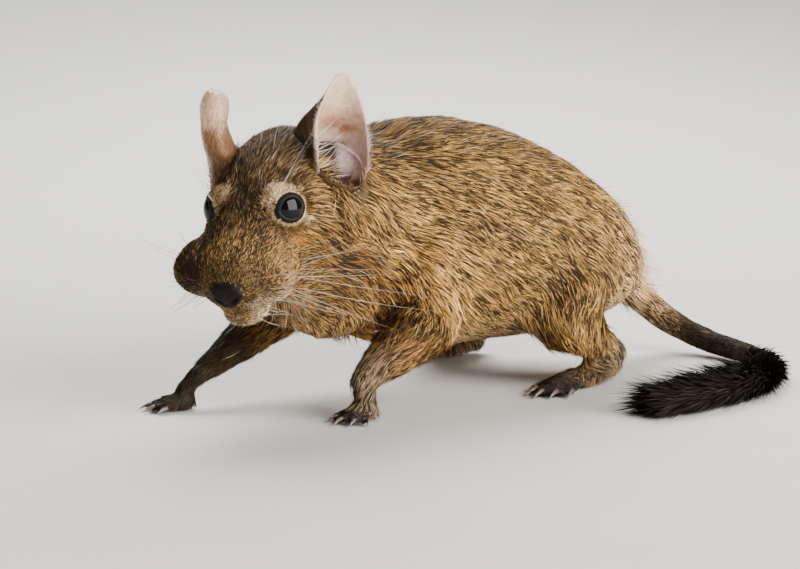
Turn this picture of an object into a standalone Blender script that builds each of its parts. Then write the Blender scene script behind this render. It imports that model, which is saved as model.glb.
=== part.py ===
"""A still, life-size degu that stands with its head turned to its left, as a museum model.

The animal faces -X, its left side is -Y and it stands on the plane z = 0. The flesh is
blended from a few named masses, cut into the parts a person would name, and fitted with
ears, eyes, toed feet and a tail that ends in a brush. Sizes are in millimetres times MM.
"""

import math
import random

import bmesh
import bpy
import numpy as np
from mathutils import Matrix, Vector
from mathutils.bvhtree import BVHTree

MM = 0.001
GAP = 0.3 * MM
UP = Vector((0, 0, 1))
BOX_SIZE = 600 * MM

# The trunk, from the neck to the rump: x, height of the back, height of the belly, half width.
TRUNK = (
    (-14, 60, 15.5, 16),
    (0, 64, 10, 21.5),
    (14, 65, 8, 25),
    (28, 62.5, 8, 27.5),
    (42, 57, 7.5, 28.5),
    (55, 50, 8, 26),
    (66, 43, 9, 21.5),
    (76, 35, 13, 15),
    (83, 28, 18, 7),
)
# The neck, from the shoulders into the skull: x, y, z, half width, half height.
NECK = (
    (8, 0, 39, 21, 24),
    (-8, -1.5, 41.5, 19.5, 21),
    (-22, -4, 46, 17, 17.5),
    (-33, -9, 44.5, 14.5, 14.5),
)
# The throat, below the jaw: centre and half sizes.
THROAT = ((-26, -11, 29), (15, 12.5, 12))

# The head has its own frame: x runs back from the tip of the nose, y to its left and z up.
NOSE_TIP = Vector((-57.4, -18.6, 30)) * MM
HEAD_YAW = math.radians(31)
HEAD_PITCH = math.radians(29)
HEAD_ROLL = math.radians(3)
# x back from the nose, top, bottom, half width.
SKULL = (
    (0.6, 3.2, -3.4, 4.2),
    (3, 5.0, -5.8, 7.0),
    (8, 7.4, -8.6, 9.6),
    (14, 9.8, -10.8, 11.0),
    (20, 12.0, -12.6, 12.2),
    (27, 14.0, -14.0, 14.0),
    (34, 14.8, -15.0, 16.0),
    (41, 14.6, -15.5, 16.6),
    (48, 13.5, -14.5, 15.0),
)
# Masses on the head: centre and half sizes in the head's frame.
HEAD_MASSES = (
    ((10, 7.0, -1.2), (6.4, 5.4, 6.2)),
    ((10.5, -9.3, 0.4), (6.0, 5.0, 6.8)),
    ((20, 8.2, -5.0), (10, 6.8, 8.5)),
    ((20, -8.2, -5.0), (10, 6.8, 8.5)),
    ((6.5, 0, -8.0), (5.0, 5.6, 3.2)),
    ((30, 9.5, -6.0), (12, 8.0, 10.5)),
    ((30, -9.5, -6.0), (12, 8.0, 10.5)),
    ((2.8, 0, 0.4), (3.2, 4.6, 3.5)),
)
# The flat cut behind the ears and the jaw: a point and a direction in the head's frame.
HEAD_CUT = ((43.5, 0, 0), (0.885, 0, -0.467))

EYE_RADIUS = 4.9 * MM
EYE_CENTRE = Vector((22.8, 6.6, 7.0)) * MM
EYE_OUTWARD = Vector((-0.50, 0.80, 0.32)).normalized()
EYE_FRONT = Vector((-0.80, -0.57, 0.17))
LID_THICKNESS = 0.6 * MM
LID_HALF_WIDTH = 4.1 * MM
LID_HALF_HEIGHT = 3.5 * MM

NOSTRIL_CENTRE = Vector((0.7, 1.75, -0.6)) * MM
NOSTRIL_SIZES = Vector((1.5, 0.65, 0.95)) * MM
MOUTH_CORNER_BACK = 9.5 * MM
MOUTH_DROP = -7.2 * MM
MOUTH_CORNER_DROP = -6.3 * MM
GROOVE_RADIUS = 0.42 * MM

# Each ear is a deep cup: the bottom and the tip of its opening, the way the opening faces, half
# the degrees its wall runs round at the root and at the tip, and the shares of its height between
# which that changes. The opening bows outwards along its height, and the wall folds out beyond
# its front edge. The hollow is what is scooped from the head inside it.
EAR_BOTTOM = Vector((34.6, 16.2, 3.1)) * MM
EAR_TIPS = {"left": Vector((47.4, 16.8, 25.4)) * MM, "right": Vector((41.0, 12.6, 26.0)) * MM}
EAR_FACING = {"left": Vector((-0.60, 0.78, 0.12)), "right": Vector((-0.45, 0.88, 0.08))}
EAR_ROLLS = {"left": (106, 20), "right": (88, 116)}
EAR_ROLL_CHANGE = {"left": (0.45, 1.05), "right": (0.60, 0.95)}
EAR_BOW = {"left": 0, "right": 2.0 * MM}
EAR_FOLD = 3.8 * MM
EAR_FOLD_START = (0.36, 0.52)
EAR_FOLD_END = (0.58, 0.92)
EAR_HALF_WIDTH = 6.9 * MM
EAR_ROUNDNESS = 2.4
EAR_TAPER = 0.5
EAR_THICKNESS = 0.8 * MM
EAR_HOLLOW = Vector((5.4, 4.4, 8.4)) * MM
EAR_HOLLOW_DEPTH = 1.2 * MM
EAR_HOLLOW_HEIGHT = 0.28

# Each leg's bones from the trunk to the wrist or heel: x, y, z, radius.
FORELEGS = {
    "left": ((-1, -14, 34, 11), (0, -17, 22, 8.5), (-9, -20.5, 16.5, 6), (-21, -21.5, 10, 3.4)),
    "right": ((-6, 12, 32, 11), (-20, 12, 22, 8.5), (-32, 12, 14, 5.4), (-45.5, 12, 6.8, 2.7)),
}
HINDLEGS = {
    "left": ((48, -14, 28, 14), (40, -20, 22, 12), (42, -23.5, 12, 8), (54, -23.5, 6.4, 4.2)),
    "right": ((46, 14, 28, 14), (38, 20, 22, 12), (40, 23.5, 12, 8), (52, 23.5, 6.4, 4.2)),
}
# What is parted from the trunk with each leg: centre and half sizes of a rounded mass.
SHOULDERS = {
    "left": ((-2, -20, 21), (13, 11, 15)),
    "right": ((-16, 15, 20), (16, 10, 13)),
}
HIPS = {
    "left": ((43, -23, 19), (20, 12, 18)),
    "right": ((41, 23, 19), (20, 12, 18)),
}
SLEEVE = 3.0 * MM
# The flat cut across the middle of each leg: a point and the direction down the leg.
FORELEG_CUTS = {
    "left": ((-8, -20, 16), (-0.82, -0.10, -0.56)),
    "right": ((-27, 12, 15), (-0.88, -0.06, -0.46)),
}
HINDLEG_CUTS = {
    "left": ((45, -23, 12.5), (0.30, 0, -0.95)),
    "right": ((43, 23, 12.5), (0.30, 0, -0.95)),
}
# Feet: the way the cut at the joint faces, heading of the toes to the left of straight ahead,
# half sizes of the palm, its reach from the joint, then each toe from the inner side: across,
# length and spread.
FOREFOOT = dict(
    facing=(-0.80, 0, -0.60),
    yaw={"left": 20, "right": -20}, palm=(4.2, 3.6, 2.5), reach=2.6, toe_radius=1.15, claw=2.0,
    toes=((-2.7, 4.4, -24), (-0.9, 5.6, -8), (1.0, 5.6, 8), (2.7, 4.6, 24)),
)
HINDFOOT = dict(
    facing=(-0.12, 0, -0.99),
    yaw={"left": 12, "right": -12}, palm=(15, 4.3, 3.0), reach=12.5, toe_radius=1.35, claw=3.2,
    toes=((-3.5, 6.0, -18), (-1.9, 9.4, -7), (0, 10.2, 0), (1.9, 9.6, 7), (3.5, 7.4, 17)),
)

# The flat cuts across the trunk behind the neck, chest and belly: a point and a direction.
TRUNK_CUTS = (
    ((-8, 0, 40), (0.95, 0.28, 0.16)),
    ((24, 0, 40), (1, 0, 0.05)),
    ((52, 0, 40), (1, 0, 0.15)),
)

# The tail's bones from the rump, along the floor and round the left side: x, y, z, radius.
TAIL = (
    (76, 0, 23, 7.0),
    (86, -1, 16, 4.6),
    (93, -7, 8.5, 3.9),
    (96, -19, 4.0, 3.4),
    (93, -35, 3.0, 3.0),
    (83, -48, 2.6, 2.6),
    (68, -56, 2.4, 2.2),
    (50, -59, 2.2, 1.9),
)
TAIL_STEPS = 6
TAIL_CUTS = (7, 19, 28)
# The brush: how far it runs on past the last bone, its radius at shares of its length, and
# the locks all over it.
BRUSH_RUN_ON = (4, 9, 14)
BRUSH_FORM = ((0, 0.3, 0.7, 1), (2.9, 3.6, 3.6, 0.8))
BRUSH_LOCKS = 36
BRUSH_ARC = (math.radians(-12), math.radians(192))
BRUSH_TURN = 0.618
BRUSH_LENGTHS = (8.0 * MM, 17.0 * MM)
BRUSH_SPREAD = 0.36
LOCK_WIDTH = 1.5 * MM
LOCK_THICKNESS = 0.6 * MM

SIDES = ("left", "right")
HEAD_FLESH_TRIANGLES = 5000
BODY_FLESH_TRIANGLES = 3000

FUR = (0.25, 0.17, 0.085)
PALE_FUR = (0.42, 0.36, 0.26)
DARK_FUR = (0.035, 0.026, 0.02)
EAR_SKIN = (0.45, 0.27, 0.21)
EYE_COLOUR = (0.012, 0.008, 0.008)


def clear_scene():
    for obj in list(bpy.data.objects):
        bpy.data.objects.remove(obj)


def material(name, colour, roughness):
    made = bpy.data.materials.new(name)
    made.use_nodes = True
    shader = made.node_tree.nodes["Principled BSDF"]
    shader.inputs["Base Color"].default_value = (*colour, 1)
    shader.inputs["Roughness"].default_value = roughness
    shader.inputs["Metallic"].default_value = 0
    return made


def new_object(name, mesh):
    obj = bpy.data.objects.new(name, mesh)
    bpy.context.scene.collection.objects.link(obj)
    return obj


def object_from(name, points, faces):
    mesh = bpy.data.meshes.new(name)
    mesh.from_pydata([tuple(p) for p in points], [], faces)
    mesh.update()
    return new_object(name, mesh)


def edit(obj, change):
    """Runs change on the object's mesh as a bmesh."""
    bm = bmesh.new()
    bm.from_mesh(obj.data)
    change(bm)
    bm.to_mesh(obj.data)
    bm.free()
    obj.data.update()
    return obj


def apply_modifiers(obj):
    graph = bpy.context.evaluated_depsgraph_get()
    mesh = bpy.data.meshes.new_from_object(obj.evaluated_get(graph))
    obj.modifiers.clear()
    obj.data = mesh
    return obj


def copy_of(obj, name):
    return new_object(name, obj.data.copy())


def drop(*objects):
    for obj in objects:
        bpy.data.objects.remove(obj)


def joined(name, pieces):
    """One object that holds the meshes of all the pieces, which are removed."""
    bm = bmesh.new()
    for piece in pieces:
        bm.from_mesh(piece.data)
    drop(*pieces)
    mesh = bpy.data.meshes.new(name)
    bm.to_mesh(mesh)
    bm.free()
    return new_object(name, mesh)


def boolean(target, operation, cutters, solver="EXACT"):
    """Joins the cutters to the target, or cuts them from it, and removes them."""
    group = bpy.data.collections.new("operands")
    for cutter in cutters:
        group.objects.link(cutter)
    modifier = target.modifiers.new("boolean", "BOOLEAN")
    modifier.operation = operation
    modifier.solver = solver
    modifier.operand_type = "COLLECTION"
    modifier.collection = group
    apply_modifiers(target)
    drop(*cutters)
    bpy.data.collections.remove(group)
    return target


def keep_largest(obj):
    """Drops every closed surface but the largest, as a cut or a union can leave scraps."""

    def change(bm):
        unseen = set(bm.verts)
        islands = []
        while unseen:
            stack = [unseen.pop()]
            island = set(stack)
            while stack:
                for edge in stack.pop().link_edges:
                    for vert in edge.verts:
                        if vert in unseen:
                            unseen.discard(vert)
                            island.add(vert)
                            stack.append(vert)
            islands.append(island)
        islands.sort(key=len)
        for island in islands[:-1]:
            bmesh.ops.delete(bm, geom=list(island), context="VERTS")

    return edit(obj, change)


def cut_by_plane(obj, point, facing):
    """Removes what lies in front of the plane through the point, and leaves a flat face."""
    box = new_object("box", bpy.data.meshes.new("box"))
    turn = facing.to_track_quat("Z", "Y").to_matrix().to_4x4()
    place = Matrix.Translation(point) @ turn @ Matrix.Translation((0, 0, BOX_SIZE / 2))
    edit(box, lambda bm: bmesh.ops.create_cube(bm, size=BOX_SIZE, matrix=place))
    return boolean(obj, "DIFFERENCE", [box])


def thin_out(obj, triangles):
    """Collapses the mesh to about this many triangles, keeping its form."""
    edit(obj, lambda bm: bmesh.ops.triangulate(bm, faces=bm.faces[:]))
    modifier = obj.modifiers.new("fewer", "DECIMATE")
    modifier.ratio = min(1, triangles / len(obj.data.polygons))
    apply_modifiers(obj)
    return obj


def smooth_rows(rows, steps):
    """Rows of numbers with steps - 1 more between each two, on a Catmull-Rom curve."""
    rows = np.array(rows, float)
    ends = np.vstack([2 * rows[0] - rows[1], rows, 2 * rows[-1] - rows[-2]])
    made = []
    for i in range(len(rows) - 1):
        a, b, c, d = ends[i : i + 4]
        for t in np.arange(steps) / steps:
            made.append(
                0.5
                * (2 * b + (c - a) * t + (2 * a - 5 * b + 4 * c - d) * t**2
                   + (3 * b - a - 3 * c + d) * t**3)
            )
    return np.array([*made, rows[-1]])


def tube(name, centres, half_sizes, sides=20, side_hint=None):
    """A closed tube of elliptic rings, half_sizes being across, up and down, about a path."""
    centres = [Vector(c) for c in centres]
    points = []
    for i, centre in enumerate(centres):
        ahead = centres[min(i + 1, len(centres) - 1)] - centres[max(i - 1, 0)]
        across = UP.cross(ahead) if side_hint is None else Vector(side_hint)
        across = (across - across.project(ahead)).normalized()
        over = ahead.cross(across).normalized()
        if over.z < 0:
            over = -over
        width, top, bottom = half_sizes[i]
        for k in range(sides):
            turn = math.tau * k / sides
            height = top if math.sin(turn) > 0 else bottom
            points.append(
                centre + across * width * math.cos(turn) + over * height * math.sin(turn)
            )
    faces = []
    for i in range(len(centres) - 1):
        for k in range(sides):
            a, b = i * sides + k, i * sides + (k + 1) % sides
            faces.append((a, b, b + sides, a + sides))
    faces.append(tuple(range(sides)))
    faces.append(tuple(range((len(centres) - 1) * sides, len(centres) * sides))[::-1])
    obj = object_from(name, points, faces)
    return edit(obj, lambda bm: bmesh.ops.recalc_face_normals(bm, faces=bm.faces[:]))


def ellipsoid(name, centre, sizes, turn=None, segments=24, rings=14):
    mesh = bpy.data.meshes.new(name)
    obj = new_object(name, mesh)
    place = Matrix.Translation(Vector(centre)) @ (turn or Matrix.Identity(4))
    place = place @ Matrix.Diagonal((*sizes, 1))

    def change(bm):
        bmesh.ops.create_uvsphere(
            bm, u_segments=segments, v_segments=rings, radius=1, matrix=place
        )
        bmesh.ops.recalc_face_normals(bm, faces=bm.faces[:])

    return edit(obj, change)


def head_frame():
    """Matrix from the head's frame, back, left and up from the nose, to the world."""
    forward = Vector(
        (-math.cos(HEAD_YAW) * math.cos(HEAD_PITCH),
         -math.sin(HEAD_YAW) * math.cos(HEAD_PITCH),
         -math.sin(HEAD_PITCH))
    )
    left = UP.cross(forward).normalized()
    lean = Matrix.Rotation(HEAD_ROLL, 3, forward)
    turn = Matrix((-forward, lean @ left, lean @ forward.cross(left))).transposed()
    return Matrix.Translation(NOSE_TIP) @ turn.to_4x4()


HEAD = head_frame()


def on_side(vector, side):
    """A vector given for the left side, mirrored for the right one, in the head's frame."""
    return Vector((vector[0], vector[1] if side == "left" else -vector[1], vector[2]))


def trunk_mass():
    rows = smooth_rows(TRUNK, 4) * MM
    centres = [(x, 0, (top + bottom) / 2) for x, top, bottom, _ in rows]
    sizes = [(wide, (top - bottom) / 2, (top - bottom) / 2) for _, top, bottom, wide in rows]
    return tube("trunk", centres, sizes, 32, side_hint=(0, 1, 0))


def neck_mass():
    rows = smooth_rows(NECK, 4) * MM
    return tube("neck", rows[:, :3], [(wide, high, high) for wide, high in rows[:, 3:]], 28)


def skull_mass():
    rows = smooth_rows(SKULL, 4) * MM
    centres = [HEAD @ Vector((x, 0, (top + bottom) / 2)) for x, top, bottom, _ in rows]
    sizes = [(wide, (top - bottom) / 2, (top - bottom) / 2) for _, top, bottom, wide in rows]
    return tube("skull", centres, sizes, 32)


def head_masses():
    turn = HEAD.to_3x3().to_4x4()
    return [
        ellipsoid("mass", HEAD @ (Vector(centre) * MM), Vector(sizes) * MM, turn)
        for centre, sizes in HEAD_MASSES
    ]


def limb_mass(bones):
    """A chain of balls along the bones, close enough to blend into one limb."""
    rows = smooth_rows(bones, 6) * MM
    return joined("limb", [ellipsoid("ball", row[:3], (row[3],) * 3) for row in rows])


def tail_mass(rows, sides=12):
    return tube("tail", rows[:, :3], [(r, r, r) for r in rows[:, 3]], sides)


def blended(name, voxel, passes, masses):
    """The masses run together into one skin, rounded where they meet."""
    body = joined(name, masses)
    remesh = body.modifiers.new("skin", "REMESH")
    remesh.mode = "VOXEL"
    remesh.voxel_size = voxel
    smooth = body.modifiers.new("smooth", "SMOOTH")
    smooth.factor = 0.5
    smooth.iterations = passes
    return apply_modifiers(body)


def flesh(name, voxel, passes):
    """The whole animal but its feet, ears and tail end, as one skin."""
    throat = ellipsoid("throat", *(Vector(part) * MM for part in THROAT))
    masses = [trunk_mass(), neck_mass(), throat, skull_mass(), *head_masses()]
    for bones in (*FORELEGS.values(), *HINDLEGS.values()):
        masses.append(limb_mass(bones))
    masses.append(tail_mass(smooth_rows(TAIL[:3], 4) * MM, 16))
    return blended(name, voxel, passes, masses)


def leg_region(mass, bones, swell):
    """What goes with a leg: a rounded mass at the trunk and a sleeve round the bones below it."""
    centre, sizes = mass
    region = ellipsoid(
        "region", Vector(centre) * MM, [s * MM + swell for s in sizes], None, 16, 10
    )
    rows = smooth_rows(bones[1:], 3) * MM
    onward = rows[-1].copy()
    onward[:3] += 4 * (rows[-1, :3] - rows[-2, :3])
    rows = np.vstack([rows, onward])
    radii = rows[:, 3] + SLEEVE + swell
    sleeve = tube("sleeve", rows[:, :3], [(r, r, r) for r in radii], 10, (0, 1, 0))
    return boolean(region, "UNION", [sleeve])


def eye_turn(side):
    """Matrix at the eye's centre whose x points to its front corner and whose z looks out."""
    outward = on_side(EYE_OUTWARD, side)
    front = on_side(EYE_FRONT, side)
    front = (front - front.project(outward)).normalized()
    turn = Matrix((front, outward.cross(front), outward)).transposed()
    return HEAD @ Matrix.Translation(on_side(EYE_CENTRE, side)) @ turn.to_4x4()


def eye_opening(side, sides=22):
    """A prism that opens the lids, an oval drawn out at its front corner."""
    outline = []
    for k in range(sides):
        turn = math.tau * k / sides
        from_corner = min(turn, math.tau - turn)
        reach = 1 + 0.20 * math.exp(-((from_corner / 0.38) ** 2))
        outline.append(
            (LID_HALF_WIDTH * reach * math.cos(turn), LID_HALF_HEIGHT * reach * math.sin(turn))
        )
    place = eye_turn(side)
    points = [place @ Vector((x, y, z)) for z in (1 * MM, 12 * MM) for x, y in outline]
    faces = [(k, (k + 1) % sides, (k + 1) % sides + sides, k + sides) for k in range(sides)]
    faces += [tuple(range(sides))[::-1], tuple(range(sides, 2 * sides))]
    obj = object_from("opening", points, faces)
    return edit(obj, lambda bm: bmesh.ops.recalc_face_normals(bm, faces=bm.faces[:]))


def surface_hits(obj, rays):
    """Where rays in the head's frame, each an origin and a direction, leave the object."""
    bm = bmesh.new()
    bm.from_mesh(obj.data)
    tree = BVHTree.FromBMesh(bm)
    bm.free()
    turn = HEAD.to_3x3()
    hits = [tree.ray_cast(HEAD @ Vector(at), turn @ Vector(way))[0] for at, way in rays]
    return [hit for hit in hits if hit is not None]


def groove(name, path):
    return tube(name, path, [(GROOVE_RADIUS,) * 3] * len(path), 6, HEAD.to_3x3() @ UP)


def mouth_cutters(head):
    """The line of the mouth from corner to corner, and the cleft from the nose down to it."""
    mouth = []
    for degrees in range(-78, 79, 12):
        turn = math.radians(degrees)
        drop = MOUTH_DROP + (MOUTH_CORNER_DROP - MOUTH_DROP) * math.sin(turn) ** 2
        way = (-math.cos(turn), math.sin(turn), 0)
        mouth.append(((MOUTH_CORNER_BACK, 0, drop), way))
    cleft = [((9 * MM, 0, z * MM), (-1, 0, 0)) for z in (-2.6, -3.8, -5.0, -6.2, -7.2)]
    side = HEAD.to_3x3() @ Vector((0, 1, 0))
    line = surface_hits(head, cleft)
    cleft_cut = tube("cleft", line, [(GROOVE_RADIUS,) * 3] * len(line), 6, side)
    return [groove("mouth", surface_hits(head, mouth)), cleft_cut]


def finish_head(head):
    """Gives the head its lids, eyes, nostrils and mouth."""
    cutters = mouth_cutters(head)
    lids = []
    for side in SIDES:
        centre = HEAD @ on_side(EYE_CENTRE, side)
        turn = eye_turn(side).to_3x3().to_4x4()
        lid = EYE_RADIUS + GAP + LID_THICKNESS
        lids.append(ellipsoid("lid", centre, (lid,) * 3, turn, 18, 10))
        cutters.append(ellipsoid("socket", centre, (EYE_RADIUS + GAP,) * 3, turn, 16, 10))
        cutters.append(eye_opening(side))
        nostril = HEAD @ on_side(NOSTRIL_CENTRE, side)
        lean = Matrix.Rotation(math.radians(-30 if side == "left" else 30), 4, "X")
        turn = HEAD.to_3x3().to_4x4() @ lean
        cutters.append(ellipsoid("nostril", nostril, NOSTRIL_SIZES, turn, 12, 8))
    boolean(head, "UNION", lids)
    boolean(head, "DIFFERENCE", cutters)
    return keep_largest(head)


def make_eye(side):
    turn = eye_turn(side).to_3x3().to_4x4()
    centre = HEAD @ on_side(EYE_CENTRE, side)
    return ellipsoid(f"eye_{side}", centre, (EYE_RADIUS,) * 3, turn, 16, 10)


def eased(value, low, high):
    """0 below low, 1 above high and a smooth step between."""
    t = min(1, max(0, (value - low) / (high - low)))
    return t * t * (3 - 2 * t)


def ear_outline(share):
    """Half width of the ear's opening at a share of its height, as a share of the greatest."""
    rounded = max(0, 1 - abs(2 * share - 1) ** EAR_ROUNDNESS) ** (1 / EAR_ROUNDNESS)
    return rounded * (1 + EAR_TAPER * (EAR_HOLLOW_HEIGHT - share))


def ear_frame(side):
    """The bottom of the ear's opening, the way to its tip, the way it faces and the way across."""
    bottom = on_side(EAR_BOTTOM, side)
    rise = on_side(EAR_TIPS[side], side) - bottom
    axis = rise.normalized()
    facing = on_side(EAR_FACING[side], side)
    facing = (facing - facing.project(axis)).normalized()
    return bottom, rise, facing, facing.cross(axis)


def ear_hollow(side):
    """What is scooped from the head inside the ear."""
    bottom, rise, facing, across = ear_frame(side)
    turn = Matrix((across, facing, rise.normalized())).transposed().to_4x4()
    centre = HEAD @ (bottom + rise * EAR_HOLLOW_HEIGHT - facing * EAR_HOLLOW_DEPTH)
    return ellipsoid("hollow", centre, EAR_HOLLOW, HEAD.to_3x3().to_4x4() @ turn, 14, 8)


def ear_sheet(side, rows, columns):
    """The ear's middle surface: arcs that run round behind its opening, from rim to rim."""
    bottom, rise, facing, across = ear_frame(side)
    root_roll, tip_roll = EAR_ROLLS[side]
    to_front = across * (1 if across.x < 0 else -1)
    points = []
    for i in range(rows + 1):
        share = (1 - math.cos(math.pi * i / rows)) / 2
        change = eased(share, *EAR_ROLL_CHANGE[side])
        roll = math.radians(root_roll + (tip_roll - root_roll) * change)
        radius = EAR_HALF_WIDTH * ear_outline(share) / math.sin(roll)
        bow = EAR_BOW[side] * math.sin(math.pi * share**2.2)
        fold = EAR_FOLD * eased(share, *EAR_FOLD_START) * (1 - eased(share, *EAR_FOLD_END))
        for j in range(columns + 1):
            run = 2 * j / columns - 1
            turn = roll * run
            depth = radius * (math.cos(roll) - math.cos(turn)) + bow
            point = bottom + rise * share + across * radius * math.sin(turn) + facing * depth
            front_run = run if across.x < 0 else -run
            point += to_front * fold * math.exp(-(((front_run - 0.55) / 0.33) ** 2))
            points.append(HEAD @ point)
    return points


def face_outwards(bm):
    """Turns the faces of a closed form outwards, also where its walls come close together."""
    bmesh.ops.recalc_face_normals(bm, faces=bm.faces[:])
    if bm.calc_volume(signed=True) < 0:
        bmesh.ops.reverse_faces(bm, faces=bm.faces[:])


def make_ear(side, body, rows=12, columns=10):
    """A thin cup that stands on the head, cut clear of the body's surface."""
    points = ear_sheet(side, rows, columns)
    wide = columns + 1
    starts = [i * wide + j for i in range(rows) for j in range(columns)]
    ear = object_from(f"ear_{side}", points, [(a, a + 1, a + 1 + wide, a + wide) for a in starts])
    edit(ear, lambda bm: bmesh.ops.remove_doubles(bm, verts=bm.verts[:], dist=0.01 * MM))
    wall = ear.modifiers.new("wall", "SOLIDIFY")
    wall.thickness = EAR_THICKNESS
    wall.offset = 0
    apply_modifiers(ear)
    edit(ear, face_outwards)
    clear = copy_of(body, "clear")
    swell = clear.modifiers.new("swell", "DISPLACE")
    swell.strength = GAP
    swell.mid_level = 0
    apply_modifiers(clear)
    boolean(ear, "DIFFERENCE", [clear])
    return keep_largest(ear)


def claw(root, ahead, length, radius):
    """A horn that curves down from the end of a toe to a blunt point just above the floor."""
    path, sizes = [], []
    for k in range(4):
        t = k / 3
        drop = (root.z - 0.4 * MM) * t**1.8
        path.append(root + ahead * length * (t - 0.25) - UP * drop)
        size = radius * (1 - 0.8 * t)
        sizes.append((size * 0.8, size, size))
    return tube("claw", path, sizes, 5)


def toe(root, ahead, length, radius):
    """A toe that rises to its knuckle, then comes down on its pad."""
    path, sizes = [], []
    stations = ((-0.45, 1.0, 0.9), (0.1, 0.9, 1.0), (0.45, 0.7, 0.92), (0.8, 0.1, 1), (0.97, 0, 0.7))
    for t, rise, swell in stations:
        point = root + ahead * length * t
        point.z = radius * 0.92 + rise * MM
        path.append(point)
        sizes.append((radius * swell,) * 3)
    return tube("toe", path, sizes, 7)


def make_foot(name, plan, side, bones):
    """A palm with its toes and claws, on a stub that meets the leg at the wrist or heel."""
    outer = 1 if side == "left" else -1
    joint = Vector(bones[-1][:3]) * MM
    along = Vector(plan["facing"]).normalized()
    heading = math.radians(plan["yaw"][side])
    ahead = Vector((-math.cos(heading), -math.sin(heading), 0))
    aside = UP.cross(ahead)
    long, wide, high = Vector(plan["palm"]) * MM
    centre = joint + ahead * plan["reach"] * MM
    centre.z = high * 0.93
    turn = Matrix((ahead, aside, UP)).transposed().to_4x4()
    foot = ellipsoid(name, centre, (long, wide, high), turn, 14, 8)
    radius = bones[-1][3] * MM
    stub = [joint - along * 2 * MM, joint + along * 1.5 * MM, centre - ahead * 0.2 * long]
    pieces = [tube("stub", stub, [(radius,) * 3, (radius,) * 3, (high * 0.8,) * 3], 10, aside)]
    toe_radius = plan["toe_radius"] * MM
    for across, length, spread in plan["toes"]:
        way = Matrix.Rotation(math.radians(spread) * outer, 3, "Z") @ ahead
        root = centre + ahead * (0.62 * long - 0.5 * abs(across) * MM)
        root += aside * across * outer * MM
        pieces.append(toe(root, way, length * MM, toe_radius))
        tip = root + way * length * 0.92 * MM
        tip.z = toe_radius
        pieces.append(claw(tip, way, plan["claw"] * MM, toe_radius * 0.62))
    boolean(foot, "UNION", pieces)
    cut_by_plane(foot, joint + along * GAP, -along)
    cut_by_plane(foot, Vector(), -UP)
    return keep_largest(foot)


def make_leg(body, names, mass, bones, cut, foot):
    """Parts a leg from the body, and cuts it across its middle joint and at the foot."""
    upper = boolean(copy_of(body, names[0]), "INTERSECT", [leg_region(mass, bones, 0)])
    keep_largest(upper)
    point, down = Vector(cut[0]) * MM, Vector(cut[1]).normalized()
    lower = copy_of(upper, names[1])
    cut_by_plane(upper, point, down)
    cut_by_plane(lower, point + down * GAP, -down)
    cut_by_plane(lower, Vector(bones[-1][:3]) * MM, Vector(foot["facing"]).normalized())
    keep_largest(upper)
    keep_largest(lower)
    boolean(body, "DIFFERENCE", [leg_region(mass, bones, GAP)])
    keep_largest(body)


def between(source, name, front, back):
    """A copy of what lies between two planes, each a point and the direction it faces."""
    piece = copy_of(source, name)
    if back:
        cut_by_plane(piece, *back)
    if front:
        point, facing = front
        cut_by_plane(piece, point + facing * GAP, -facing)
    return keep_largest(piece)


def tail_plane(index):
    rows = smooth_rows(TAIL, TAIL_STEPS) * MM
    facing = Vector(rows[index + 1, :3]) - Vector(rows[index - 1, :3])
    return Vector(rows[index, :3]), facing.normalized()


def make_tail():
    """The tail in lengths that lie along the floor, and the brush at its end."""
    rows = smooth_rows(TAIL, TAIL_STEPS) * MM
    whole = tail_mass(rows)
    planes = [tail_plane(i) for i in TAIL_CUTS]
    pieces = [
        between(whole, name, front, back)
        for name, front, back in zip(("tail_base", "tail_middle"), planes, planes[1:])
    ]
    drop(whole)
    pieces.append(make_brush(rows[TAIL_CUTS[-1] - 1 :], planes[-1]))
    for piece in pieces:
        cut_by_plane(piece, Vector(), -UP)
        keep_largest(piece)


def brush_rows(rows):
    """The tail's last rows, run on to the tip of the brush, each with the brush's radius."""
    ahead = rows[-1, :3] - rows[-4, :3]
    ahead /= np.linalg.norm(ahead)
    tip = [[*(rows[-1, :3] + ahead * reach * MM), 0] for reach in BRUSH_RUN_ON]
    rows = np.vstack([rows, tip])
    rows[:, 3] = np.interp(np.linspace(0, 1, len(rows)), *BRUSH_FORM) * MM
    return rows


def lock(root, way, length, width):
    """A flat tapered lock of hair that bends down to the floor as it runs out."""
    path, sizes = [], []
    for share, wide in ((0, 0.75), (0.3, 1), (0.65, 0.8), (1, 0.1)):
        point = root + way * length * share
        thick = LOCK_THICKNESS * wide**0.5
        point.z = max(point.z, thick * 0.8)
        path.append(point)
        sizes.append((width * wide, thick, thick))
    return tube("lock", path, sizes, 4)


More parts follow.
